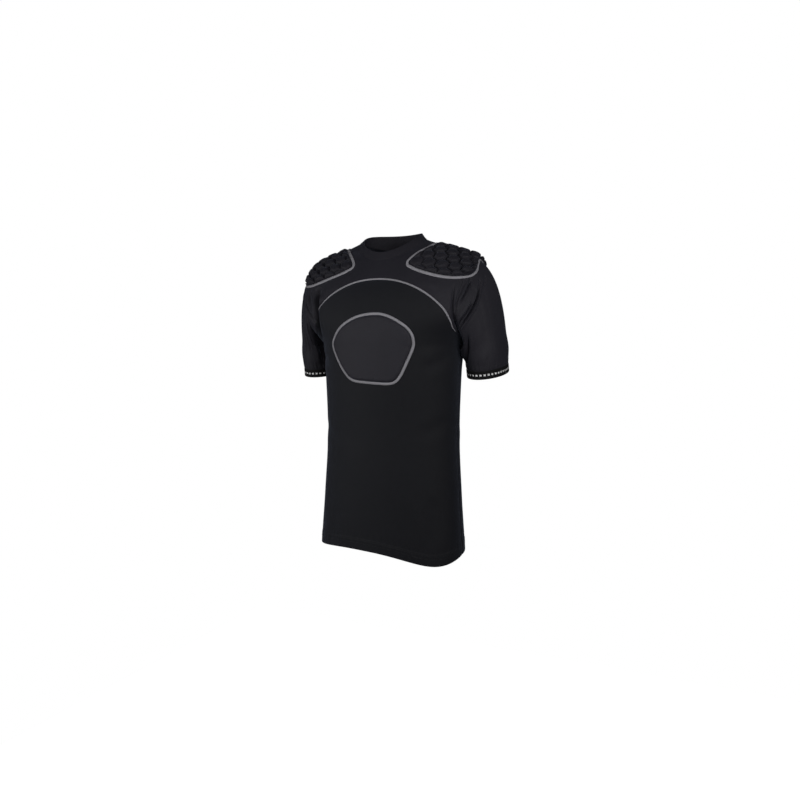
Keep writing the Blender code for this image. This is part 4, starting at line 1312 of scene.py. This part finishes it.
class Finish(Nodes):
    """A material and the nodes that feed its shader."""

    def __init__(self, name, constants):
        self.material = bpy.data.materials.new(name)
        super().__init__(self.material)
        self.shader = self.tree.nodes["Principled BSDF"]
        for socket, value in constants.items():
            self.shader.inputs[socket].default_value = value

    def place(self):
        """Metres across and along the flat cloth."""
        place = self.node("ShaderNodeAttribute", {"attribute_name": PLACE}, {}, "Vector")
        return [self.node("ShaderNodeSeparateXYZ", {}, [place], axis) for axis in ("X", "Y")]

    def noise(self, scale, detail=2.0):
        """Soft patches from 0 to 1, about so many to a metre."""
        where = self.node("ShaderNodeTexCoord", {}, {}, "Object")
        return self.node("ShaderNodeTexNoise", {}, {"Vector": where, "Scale": scale, "Detail": detail})

    def blend(self, share, low, high):
        """A colour between two others."""
        low, high = ((*c, 1.0) if isinstance(c, tuple) else c for c in (low, high))
        return self.node("ShaderNodeMix", {"data_type": "RGBA"}, {0: share, 6: low, 7: high}, 2)

    def feed(self, socket, value):
        self.tree.links.new(value.socket, self.shader.inputs[socket])

    def bump(self, height, distance, strength):
        settings = {"Height": height, "Distance": distance, "Strength": strength}
        self.feed("Normal", self.node("ShaderNodeBump", {}, settings, "Normal"))


def shade(colour, share):
    """A colour made lighter or darker."""
    return tuple(share * part for part in colour)


def knit(name, colour):
    """Stretch knit: columns of small loops, slightly uneven in colour at random, with painted shade
    between the loops and a faint cool sheen.
    """
    roughness, wale, course, sheen = KNITS[name]
    finish = Finish(name, {
        "Specular IOR Level": 0.16,
        "Sheen Weight": sheen,
        "Sheen Roughness": 0.40,
        "Sheen Tint": SHEEN_TINT,
    })
    across, along = finish.place()
    column = (across / wale).swing()
    loop = (along / course + column * 0.5).fraction()
    loops = (loop * math.pi).sine() * (1 - column * column)
    patches = finish.noise(16.0)
    flecks = finish.noise(520.0)
    # Painted shade: the base colour darkens between the loops, where the bump dips, on top of the random
    # patches and flecks.
    tone_and_shade = patches * 0.5 + flecks * 0.3 + loops * 0.2
    finish.feed("Base Color", finish.blend(tone_and_shade, shade(colour, 0.72), shade(colour, 1.32)))
    finish.feed("Roughness", roughness - 0.10 + 0.20 * patches)
    finish.bump(loops + flecks * 0.6, KNIT_DEPTH, 0.45)
    return finish.material


def elastic(name, ground, dash):
    """Woven elastic: fine ribs along the band, with a plain row of short white dashes."""
    finish = Finish(name, {"Specular IOR Level": 0.20, "Sheen Weight": 0.04})
    across, along = finish.place()
    pick = (across / ELASTIC_PICK).swing()
    end = (along / ELASTIC_END).swing()
    weave = pick * (1 - end) + end * (1 - pick)
    spot = ((across / DASH_PITCH).fraction() - 0.5).size() * DASH_PITCH
    level = (along - CUFF_HEIGHT / 2).size()
    long = 1 - spot.rise(DASH_LENGTH / 2 - DASH_BLUR, DASH_LENGTH / 2)
    dashes = long * (1 - level.rise(DASH_HEIGHT / 2 - DASH_BLUR, DASH_HEIGHT / 2))
    # Painted shade: the base colour and the dashes' white darken where the weave's bump dips, on top of
    # random noise.
    tone_and_shade = weave * 0.5 + finish.noise(300.0) * 0.5
    base = finish.blend(tone_and_shade, shade(ground, 0.6), shade(ground, 1.5))
    white = finish.blend(tone_and_shade, shade(dash, 0.86), dash)
    finish.feed("Base Color", finish.blend(dashes, base, white))
    finish.feed("Roughness", 0.72 + 0.12 * weave)
    finish.bump(weave, ELASTIC_DEPTH, 0.5)
    return finish.material


def satin(name, colour):
    """Satin-stitched edging: close slanting threads with a soft shine."""
    finish = Finish(name, {"Specular IOR Level": 0.30, "Sheen Weight": 0.08})
    across, along = finish.place()
    thread = (along / SATIN_THREAD[0] + across / SATIN_THREAD[1]).swing()
    patches = finish.noise(60.0)
    # Painted shade: the base colour darkens in the grooves between threads, where the bump dips, on top of
    # random patches.
    tone_and_shade = (1 - thread) * 0.45 + patches * 0.55
    finish.feed("Base Color", finish.blend(tone_and_shade, shade(colour, 0.70), shade(colour, 1.25)))
    finish.feed("Roughness", 0.50 + 0.15 * thread)
    finish.bump(1 - thread, SATIN_THREAD_DEPTH, 0.5)
    return finish.material


def twisted_thread(name, colour):
    """Polyester thread of the seams, with a small twist."""
    finish = Finish(name, {"Specular IOR Level": 0.35})
    across, along = finish.place()
    twist = (along / TWIST[0] + across / TWIST[1]).swing()
    # Painted shade: the base colour darkens in the twist's grooves, where the bump dips, on top of random
    # noise.
    tone_and_shade = twist * 0.6 + finish.noise(200.0) * 0.4
    finish.feed("Base Color", finish.blend(tone_and_shade, shade(colour, 0.7), shade(colour, 1.4)))
    finish.feed("Roughness", 0.45 + 0.15 * twist)
    finish.bump(twist, TWIST_DEPTH, 0.4)
    return finish.material


def floor_paint(name, colour):
    """Matt pale paint of the studio floor."""
    finish = Finish(name, {
        "Specular IOR Level": 0.0,
        "Roughness": 0.9,
        "Emission Color": WHITE,
        "Emission Strength": bpy.context.scene.rugby_top_stage.floor_glow,
    })
    patches = finish.noise(0.6)
    finish.feed("Base Color", finish.blend(patches, shade(colour, 0.985), colour))
    return finish.material


def material(name):
    """The finish of this name, made when it is first needed."""
    if name in bpy.data.materials and bpy.data.materials[name].get("made_here"):
        return bpy.data.materials[name]
    colour = colours()
    maker, *paints = {
        "body_knit": (knit, colour.body_black),
        "yoke_knit": (knit, colour.yoke_black),
        "pad_knit": (knit, colour.pad_black),
        "chest_knit": (knit, colour.chest_black),
        "cuff_elastic": (elastic, colour.band_black, colour.dash_white),
        "satin_edging": (satin, colour.satin_grey),
        "seam_thread": (twisted_thread, colour.thread_black),
        "floor_paint": (floor_paint, colour.floor_white),
    }[name]
    made = maker(name, *(tuple(paint) for paint in paints))
    made["made_here"] = True
    return made


def mesh_piece(name, corners, quads, triangles, places, look, right=False):
    """An object from arrays of corners and faces, turned so that its faces point out."""
    corners = mirrored(corners) if right else corners
    fans = np.concatenate([quads[:, [0, 1, 2]], quads[:, [0, 2, 3]], triangles])
    a, b, c = (corners[fans[:, k]] for k in range(3))
    if np.sum(a * np.cross(b, c)) < 0:
        quads, triangles = quads[:, ::-1], triangles[:, ::-1]
    mesh = bpy.data.meshes.new(name)
    index = np.concatenate([quads.ravel(), triangles.ravel()]).astype(np.int32)
    lengths = np.concatenate([np.full(len(quads), 4), np.full(len(triangles), 3)])
    starts = np.concatenate([[0], np.cumsum(lengths)[:-1]]).astype(np.int32)
    mesh.vertices.add(len(corners))
    mesh.vertices.foreach_set("co", corners.astype(np.float32).ravel())
    mesh.loops.add(len(index))
    mesh.loops.foreach_set("vertex_index", index)
    mesh.polygons.add(len(starts))
    mesh.polygons.foreach_set("loop_start", starts)
    mesh.update(calc_edges=True)
    if mesh.validate():
        raise RuntimeError(name + " has faces that aren't valid")
    flat = np.zeros((len(corners), 3), np.float32)
    flat[:, :2] = places
    mesh.attributes.new(PLACE, "FLOAT_VECTOR", "POINT").data.foreach_set("vector", flat.ravel())
    mesh.shade_smooth()
    mesh.set_sharp_from_angle(angle=SHARP_ANGLE)
    mesh.materials.append(material(look))
    made = bpy.data.objects.new(name, mesh)
    bpy.context.scene.collection.objects.link(made)
    return made


NO_TRIANGLES = np.zeros((0, 3), int)


def open_panel(name, panel, look):
    """A sheet of cloth with four edges: outer and inner grids joined round their rim."""
    outer, inner, _, flat = panel
    rows, columns = outer.shape[:2]
    size = rows * columns
    index = np.arange(size).reshape(rows, columns)
    rim = np.concatenate([index[0, :-1], index[:-1, -1], index[-1, :0:-1], index[:0:-1, 0]])
    after = np.roll(rim, -1)
    faces = grid_faces(rows, columns, False)
    band = np.stack([after, rim, rim + size, after + size], axis=-1)
    quads = np.concatenate([faces, faces[:, ::-1] + size, band])
    corners = np.concatenate([outer.reshape(-1, 3), inner.reshape(-1, 3)])
    places = np.concatenate([flat.reshape(-1, 2)] * 2)
    return mesh_piece(name, corners, quads, NO_TRIANGLES, places, look)


def tube_panel(name, panel, look, right=False):
    """A tube of cloth: outer rows, then inner rows back to the start."""
    outer, inner, _, flat = panel
    rings = np.concatenate([outer, inner[::-1], outer[:1]])
    rows, columns = rings.shape[:2]
    quads = grid_faces(rows, columns, True) % ((rows - 1) * columns)
    places = np.concatenate([flat, flat[::-1]]).reshape(-1, 2)
    return mesh_piece(name, rings[:-1].reshape(-1, 3), quads, NO_TRIANGLES, places, look, right)


def pad_piece(name, top, base, poles, places, look, right=False):
    """A pad: rings from its middle out over the top, then back in under it."""
    rings = np.concatenate([top, base])
    rows, columns = rings.shape[:2]
    size = rows * columns
    first, second = np.arange(columns), (np.arange(columns) + 1) % columns
    last = (rows - 1) * columns
    over = np.stack([np.full(columns, size), second, first], axis=-1)
    under = np.stack([np.full(columns, size + 1), last + first, last + second], axis=-1)
    corners = np.concatenate([rings.reshape(-1, 3), np.stack(poles)])
    triangles = np.concatenate([over, under])
    return mesh_piece(name, corners, grid_faces(rows, columns, True), triangles, places, look, right)


def edging_piece(name, low, across, out, width, closed, look, right=False):
    """A domed satin band along a path: its middle line, directions across it and out of the cloth."""
    size = sizes()
    count = len(low)
    length = lengths_along(low)
    side = np.linspace(-1, 1, EDGING_SIDES)
    lie = np.sqrt(np.clip(1 - EDGING_DOME * side**2, 0, 1))
    slant = side * width[:, None] / 2
    thread = np.cos(2 * math.pi * (length[:, None] + SATIN_SLANT * slant) / size.satin_pitch)
    rise = size.pad_lift + size.edging_height * lie * np.minimum(1, width / width.max())[:, None]
    rise = rise + size.satin_depth * thread * lie
    top = low[:, None] + slant[..., None] * across[:, None] + rise[..., None] * out[:, None]
    bottom = [low + edge * (width / 2)[:, None] * across + 0.5 * size.pad_lift * out for edge in (1, -1)]
    rings = np.concatenate([top, np.stack(bottom, axis=1)], axis=1)
    sides = rings.shape[1]
    flat = np.zeros((count, sides, 2))
    flat[:, :EDGING_SIDES, 0] = slant
    flat[..., 1] = length[:, None]
    if closed:
        rings = np.concatenate([rings, rings[:1]])
    quads = grid_faces(*rings.shape[:2], True) % (count * sides)
    triangles = NO_TRIANGLES
    if not closed:
        fan = np.array([(0, k, k + 1) for k in range(1, sides - 1)])
        triangles = np.concatenate([fan, fan[:, ::-1] + (count - 1) * sides])
    return mesh_piece(
        name, rings[:count].reshape(-1, 3), quads, triangles, flat.reshape(-1, 2), look, right)


def sewn_pad(name, look, corners, grid, centre, lie, height, evening, edging_evening, right=False):
    """A pad and the edging round it.

    corners are those of its flat outline and centre its middle, grid is its numbers of steps round it and
    of rings, lie puts flat places on the cloth, height gives the foam's height there, and each evening is
    the rounds of smoothing of points and of directions.
    """
    size = sizes()
    count, rings = grid
    outline, length = closed_curve(corners, count)
    spokes = outline - centre
    places, under = (
        centre + np.array(shares)[:, None, None] * spokes
        for shares in (np.arange(1, rings + 1) / rings, BASE_SHARES))
    points, out = lie(places)
    points, out = smoothed(points, evening[0]), unit(smoothed(out, evening[1]))
    from_edge = inside_of(closed_curve(corners, OUTLINE_STEPS)[0], places)
    top = points + (size.pad_lift + height(places, from_edge))[..., None] * out
    base, base_out = lie(under)
    base = base + size.pad_lift * base_out
    pole, pole_out = (found[0] for found in lie(centre[None]))
    pole_rise = size.pad_lift + height(centre[None], np.ones(1))[0]
    poles = (pole + pole_rise * out[0].mean(axis=0), pole + size.pad_lift * pole_out)
    flat = np.concatenate([places.reshape(-1, 2), under.reshape(-1, 2), centre[None], centre[None]])
    pad = pad_piece(name + "_foam", top, base, poles, flat, look, right)

    path, _ = closed_curve(corners, int(length / EDGING_STEP))
    away = outwards_of(path, centre)
    inner, inner_out = lie(path + SEAM_GAP * away)
    outer, outer_out = lie(path + (SEAM_GAP + size.edging_width) * away)
    inner, outer = (smoothed(line[None], edging_evening[0])[0] for line in (inner, outer))
    edge_out = unit(smoothed((inner_out + outer_out)[None], edging_evening[1])[0])
    edging = edging_piece(
        name + "_edging", (inner + outer) / 2, unit(outer - inner), edge_out,
        np.linalg.norm(outer - inner, axis=-1), True, "satin_edging", right)
    return pad, edging


def even_path(points, normals, pitch):
    """Middles, directions and normals of stitches at an even pitch along a path."""
    lengths = lengths_along(points)
    at = np.arange(pitch / 2, lengths[-1], pitch)
    steps_off = (-pitch / 4, 0, pitch / 4)
    behind, middle, ahead = (along_line(at + step, lengths, points) for step in steps_off)
    return middle, unit(ahead - behind), unit(along_line(at, lengths, normals))


def stitch_piece(name, rows, look="seam_thread"):
    """Many small stitches joined in one mesh; rows are (points, normals, slant, mirrored)."""
    size = sizes()
    corners, quads, triangles, places = [], [], [], []
    start = 0
    around = np.linspace(0, 2 * math.pi, STITCH_SIDES, endpoint=False)
    for points, normals, slant, right in rows:
        middle, along, out = even_path(points, normals, size.stitch + size.stitch_gap)
        across = unit(np.cross(out, along))
        along = unit(along + slant * across)
        across = np.cross(out, along)
        rings = []
        for place, wide, up in STITCH_RINGS:
            ring = (
                middle[:, None] + place * size.stitch * along[:, None]
                + 0.5 * wide * size.thread * np.cos(around)[:, None] * across[:, None]
                + size.thread * (up + STITCH_ROUND * wide * np.sin(around))[:, None] * out[:, None]
            )
            rings.append(ring)
        made = np.stack(rings, axis=1)
        made = mirrored(made) if right else made
        count, levels, sides = made.shape[:3]
        faces = grid_faces(levels, sides, True)
        cap = np.array([(0, k, k + 1) for k in range(1, sides - 1)])
        caps = np.concatenate([cap[:, ::-1], cap + (levels - 1) * sides])
        if right:
            faces, caps = faces[:, ::-1], caps[:, ::-1]
        base = start + np.arange(count)[:, None, None] * levels * sides
        quads.append((base + faces).reshape(-1, 4))
        triangles.append((base + caps).reshape(-1, 3))
        corners.append(made.reshape(-1, 3))
        flat = np.zeros((count, levels, sides, 2))
        flat[..., 0] = size.thread * np.cos(around)
        flat[..., 1] = (size.stitch * np.array(STITCH_RINGS)[:, 0])[None, :, None]
        places.append(flat.reshape(-1, 2))
        start += count * levels * sides
    return mesh_piece(
        name, np.concatenate(corners), np.concatenate(quads), np.concatenate(triangles),
        np.concatenate(places), look)


def settle(piece, slot, *nodes):
    """Rides a piece on the top, and hides the solids it stands for. slot is not used."""
    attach(piece, BODY)
    if nodes:
        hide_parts(*nodes)


def row_at(panel, distance, from_end=False):
    """The line across a panel at a distance from its first or last row, and directions out of it."""
    outer, _, out, _ = panel
    if from_end:
        outer, out = outer[::-1], out[::-1]
    down = runs(outer, True)[0][0]
    line, normals = (
        np.array([along_line(distance, down[:, c], grid[:, c]) for c in range(grid.shape[1])])
        for grid in (outer, out))
    return line, unit(normals)


def ring_at(panel, distance, from_end=False):
    """The same round a tube: the line ends where it starts."""
    return [np.concatenate([line, line[:1]]) for line in row_at(panel, distance, from_end)]


def turned_panel(panel):
    """The same panel with its rows and columns exchanged."""
    return [np.swapaxes(grid, 0, 1) for grid in panel]


class RUGBYTOP_OT_stage(bpy.types.Operator):
    """Make the camera, the soft studio lights and the pale floor"""

    bl_idname = "rugby_top.stage"
    bl_label = "Stage"

    def execute(self, context):
        scene = context.scene
        stage = scene.rugby_top_stage
        scene.view_settings.view_transform = "Standard"
        turn = stage.azimuth
        right = Vector((math.cos(turn), math.sin(turn), 0.0))
        ahead = Vector((-math.sin(turn), math.cos(turn), 0.0))
        up = Vector((0.0, 0.0, 1.0))

        lens = bpy.data.cameras.new("photo_camera")
        lens.lens = stage.lens
        lens.sensor_width = SENSOR_WIDTH
        lens.shift_x, lens.shift_y = stage.shift
        camera = bpy.data.objects.new("photo_camera", lens)
        camera.location = -stage.distance * ahead + stage.eye_height * up
        camera.rotation_euler = (math.pi / 2, 0.0, turn)
        scene.collection.objects.link(camera)
        scene.camera = camera

        for name, ((sideways, away, above), width) in LIGHTS.items():
            light = bpy.data.lights.new(name, "AREA")
            light.shape = "RECTANGLE"
            light.size, light.size_y = width, width
            light.energy = getattr(stage, name + "_power")
            place = sideways * right + away * ahead + above * up
            made = bpy.data.objects.new(name, light)
            made.location = MIDDLE_HEIGHT * up + place
            made.visible_camera = False
            made.rotation_euler = (-place).to_track_quat("-Z", "Y").to_euler()
            scene.collection.objects.link(made)

        scene.world = bpy.data.worlds.new("studio")
        world = Nodes(scene.world)
        world.tree.nodes.remove(world.tree.nodes["Background"])
        room = world.node("ShaderNodeBackground", {}, {"Color": WHITE, "Strength": stage.ambient})
        backdrop = world.node("ShaderNodeBackground", {}, {"Color": WHITE})
        seen = world.node("ShaderNodeLightPath", {}, {}, "Is Camera Ray")
        either = world.node("ShaderNodeMixShader", {}, [seen, room, backdrop])
        world.tree.links.new(either.socket, world.tree.nodes["World Output"].inputs["Surface"])

        half = stage.floor_half
        mesh = bpy.data.meshes.new("studio_floor")
        square = ((-half, -half), (half, -half), (half, half), (-half, half))
        corners = [(x, y, stage.floor_level) for x, y in square]
        mesh.from_pydata(corners, [], [(0, 1, 2, 3)])
        mesh.materials.append(material("floor_paint"))
        floor = bpy.data.objects.new("studio_floor", mesh)
        scene.collection.objects.link(floor)
        floor.visible_diffuse = False
        floor.visible_glossy = False
        return {"FINISHED"}


class RUGBYTOP_OT_panels(bpy.types.Operator):
    """Make the front, the yoke and the back in knit cloth"""

    bl_idname = "rugby_top.panels"
    bl_label = "Body panels"

    def execute(self, context):
        front = open_panel("front_panel", front_panel(), "body_knit")
        settle(front, "body_cloth", "front_body")
        yoke = open_panel("yoke_panel", yoke_panel(), "yoke_knit")
        settle(yoke, "yoke_cloth", "front_yoke")
        back = open_panel("back_panel", back_panel(), "body_knit")
        settle(back, "body_cloth", "back_body")
        return {"FINISHED"}


class RUGBYTOP_OT_collar(bpy.types.Operator):
    """Make the low standing collar"""

    bl_idname = "rugby_top.collar"
    bl_label = "Collar"

    def execute(self, context):
        collar = tube_panel("collar_band", collar_panel(), "yoke_knit")
        settle(collar, "yoke_cloth", "collar")
        return {"FINISHED"}


class RUGBYTOP_OT_sleeves(bpy.types.Operator):
    """Make both sleeves, each with its own creases"""

    bl_idname = "rugby_top.sleeves"
    bl_label = "Sleeves"

    def execute(self, context):
        for side, creases in (("left", LEFT_SLEEVE_CREASES), ("right", RIGHT_SLEEVE_CREASES)):
            right = side == "right"
            sleeve = tube_panel(side + "_sleeve", sleeve_panel(creases, right), "yoke_knit", right)
            settle(sleeve, "yoke_cloth", "sleeve_" + side)
        return {"FINISHED"}


class RUGBYTOP_OT_cuffs(bpy.types.Operator):
    """Make both elastic cuffs"""

    bl_idname = "rugby_top.cuffs"
    bl_label = "Cuffs"

    def execute(self, context):
        for side in ("left", "right"):
            cuff = tube_panel(side + "_cuff", cuff_panel(), "cuff_elastic", side == "right")
            settle(cuff, "band_cloth", "cuff_" + side)
        return {"FINISHED"}


class RUGBYTOP_OT_chest_pad(bpy.types.Operator):
    """Make the chest pad and the edging round it"""

    bl_idname = "rugby_top.chest_pad"
    bl_label = "Chest pad"

    def execute(self, context):
        grid = (CHEST_PAD_STEPS, CHEST_PAD_RINGS)
        centre = closed_curve(CHEST_PAD_OUTLINE, CHEST_PAD_STEPS)[0].mean(axis=0)
        height = partial(chest_height, middle_height=centre[1])
        pad, edging = sewn_pad(
            "chest", "chest_knit", CHEST_PAD_OUTLINE, grid, centre, on_front, height,
            NO_EVENING, NO_EVENING)
        settle(pad, "pad_cloth", "chest_pad")
        settle(edging, "trim_cloth", "chest_trim")
        return {"FINISHED"}


class RUGBYTOP_OT_yoke_edging(bpy.types.Operator):
    """Make the thin edging over the arched yoke seam"""

    bl_idname = "rugby_top.yoke_edging"
    bl_label = "Yoke edging"

    def execute(self, context):
        start, end = YOKE_EDGING
        across = np.linspace(start, end, int(YOKE_EDGING_LENGTH / EDGING_STEP))
        points, out = on_front(yoke_seam(across))
        points = tucked(points)
        along = unit(np.gradient(points, axis=0))
        side = unit(np.cross(out, along))
        taper = ease(np.minimum(across - start, end - across) / YOKE_EDGING_TAPER)
        width = sizes().arch_width * (YOKE_EDGING_END + (1 - YOKE_EDGING_END) * taper)
        edging = edging_piece("yoke_edging", points, side, out, width, False, "satin_edging")
        settle(edging, "trim_cloth", "yoke_trim")
        return {"FINISHED"}


class RUGBYTOP_OT_shoulder_pads(bpy.types.Operator):
    """Make the shoulder pads of six-sided foam cells and the edging round them"""

    bl_idname = "rugby_top.shoulder_pads"
    bl_label = "Shoulder pads"

    def execute(self, context):
        size = sizes()
        lie = partial(on_shoulder, form_tree())
        grid = (SHOULDER_PAD_STEPS, SHOULDER_PAD_RINGS)
        centre = np.array([SHOULDER_PAD_CENTRE, 0.0])
        ends = (("left", size.left_share, 0.0), ("right", size.right_share, RIGHT_PAD_DROP))
        for side, share, drop in ends:
            height = partial(foam_height, outer_share=share)
            pad, edging = sewn_pad(
                side + "_shoulder", "pad_knit", shoulder_outline(drop), grid, centre, lie, height,
                PAD_EVENING, PAD_EDGING_EVENING, side == "right")
            settle(pad, "pad_cloth", "shoulder_pad_" + side)
            settle(edging, "trim_cloth", "shoulder_trim_" + side)
        return {"FINISHED"}


class RUGBYTOP_OT_stitching(bpy.types.Operator):
    """Sew the hem, cuffs, collar, side seams and armholes"""

    bl_idname = "rugby_top.stitching"
    bl_label = "Stitching"

    def execute(self, context):
        front, back, turn_up = front_panel(), back_panel(), sizes().hem_turn
        rows = []
        for panel in (front, back):
            for distance in HEM_STITCHES:
                rows.append((*row_at(panel, turn_up - distance), 0.0, False))
        settle(stitch_piece("hem_stitches", rows), "body_cloth")

        rows = []
        for panel in (turned_panel(front), turned_panel(back)):
            for from_end in (False, True):
                rows.append((*row_at(panel, SEAM_STITCHES, from_end), SEAM_SLANT, False))
        settle(stitch_piece("side_stitches", rows), "body_cloth")

        rows = []
        for creases, right in ((LEFT_SLEEVE_CREASES, False), (RIGHT_SLEEVE_CREASES, True)):
            sleeve = sleeve_panel(creases, right)
            for distance in CUFF_STITCHES:
                rows.append((*ring_at(sleeve, distance, True), 0.0, right))
            rows.append((*ring_at(sleeve, SEAM_STITCHES), SEAM_SLANT, right))
        settle(stitch_piece("sleeve_stitches", rows), "yoke_cloth")

        rows = [(*ring_at(collar_panel(), COLLAR_STITCHES), 0.0, False)]
        settle(stitch_piece("collar_stitches", rows), "yoke_cloth")
        return {"FINISHED"}


OPERATORS = (
    RUGBYTOP_OT_stage,
    RUGBYTOP_OT_panels,
    RUGBYTOP_OT_collar,
    RUGBYTOP_OT_sleeves,
    RUGBYTOP_OT_cuffs,
    RUGBYTOP_OT_chest_pad,
    RUGBYTOP_OT_yoke_edging,
    RUGBYTOP_OT_shoulder_pads,
    RUGBYTOP_OT_stitching,
)


class RUGBYTOP_PT_panel(bpy.types.Panel):
    """Lists the top's pieces, sizes and colours"""

    bl_idname = "RUGBYTOP_PT_panel"
    bl_label = "Rugby top"
    bl_space_type = "VIEW_3D"
    bl_region_type = "UI"
    bl_category = "Rugby top"

    def draw(self, context):
        for operator in OPERATORS:
            self.layout.operator(operator.bl_idname)
        for group in (sizes(), colours(), context.scene.rugby_top_stage):
            box = self.layout.box()
            for name in group.__annotations__:
                box.prop(group, name)


CLASSES = (TopSizes, TopColours, StageSettings, *OPERATORS, RUGBYTOP_PT_panel)


def register():
    for made in CLASSES:
        bpy.utils.register_class(made)
    bpy.types.Scene.rugby_top_sizes = bpy.props.PointerProperty(type=TopSizes)
    bpy.types.Scene.rugby_top_colours = bpy.props.PointerProperty(type=TopColours)
    bpy.types.Scene.rugby_top_stage = bpy.props.PointerProperty(type=StageSettings)


def unregister():
    del bpy.types.Scene.rugby_top_sizes
    del bpy.types.Scene.rugby_top_colours
    del bpy.types.Scene.rugby_top_stage
    for made in reversed(CLASSES):
        bpy.utils.unregister_class(made)


def main():
    register()
    bpy.ops.rugby_top.stage()
    bpy.ops.rugby_top.panels()
    bpy.ops.rugby_top.collar()
    bpy.ops.rugby_top.sleeves()
    bpy.ops.rugby_top.cuffs()
    bpy.ops.rugby_top.chest_pad()
    bpy.ops.rugby_top.yoke_edging()
    bpy.ops.rugby_top.shoulder_pads()
    bpy.ops.rugby_top.stitching()


if __name__ == "__main__":
    main()
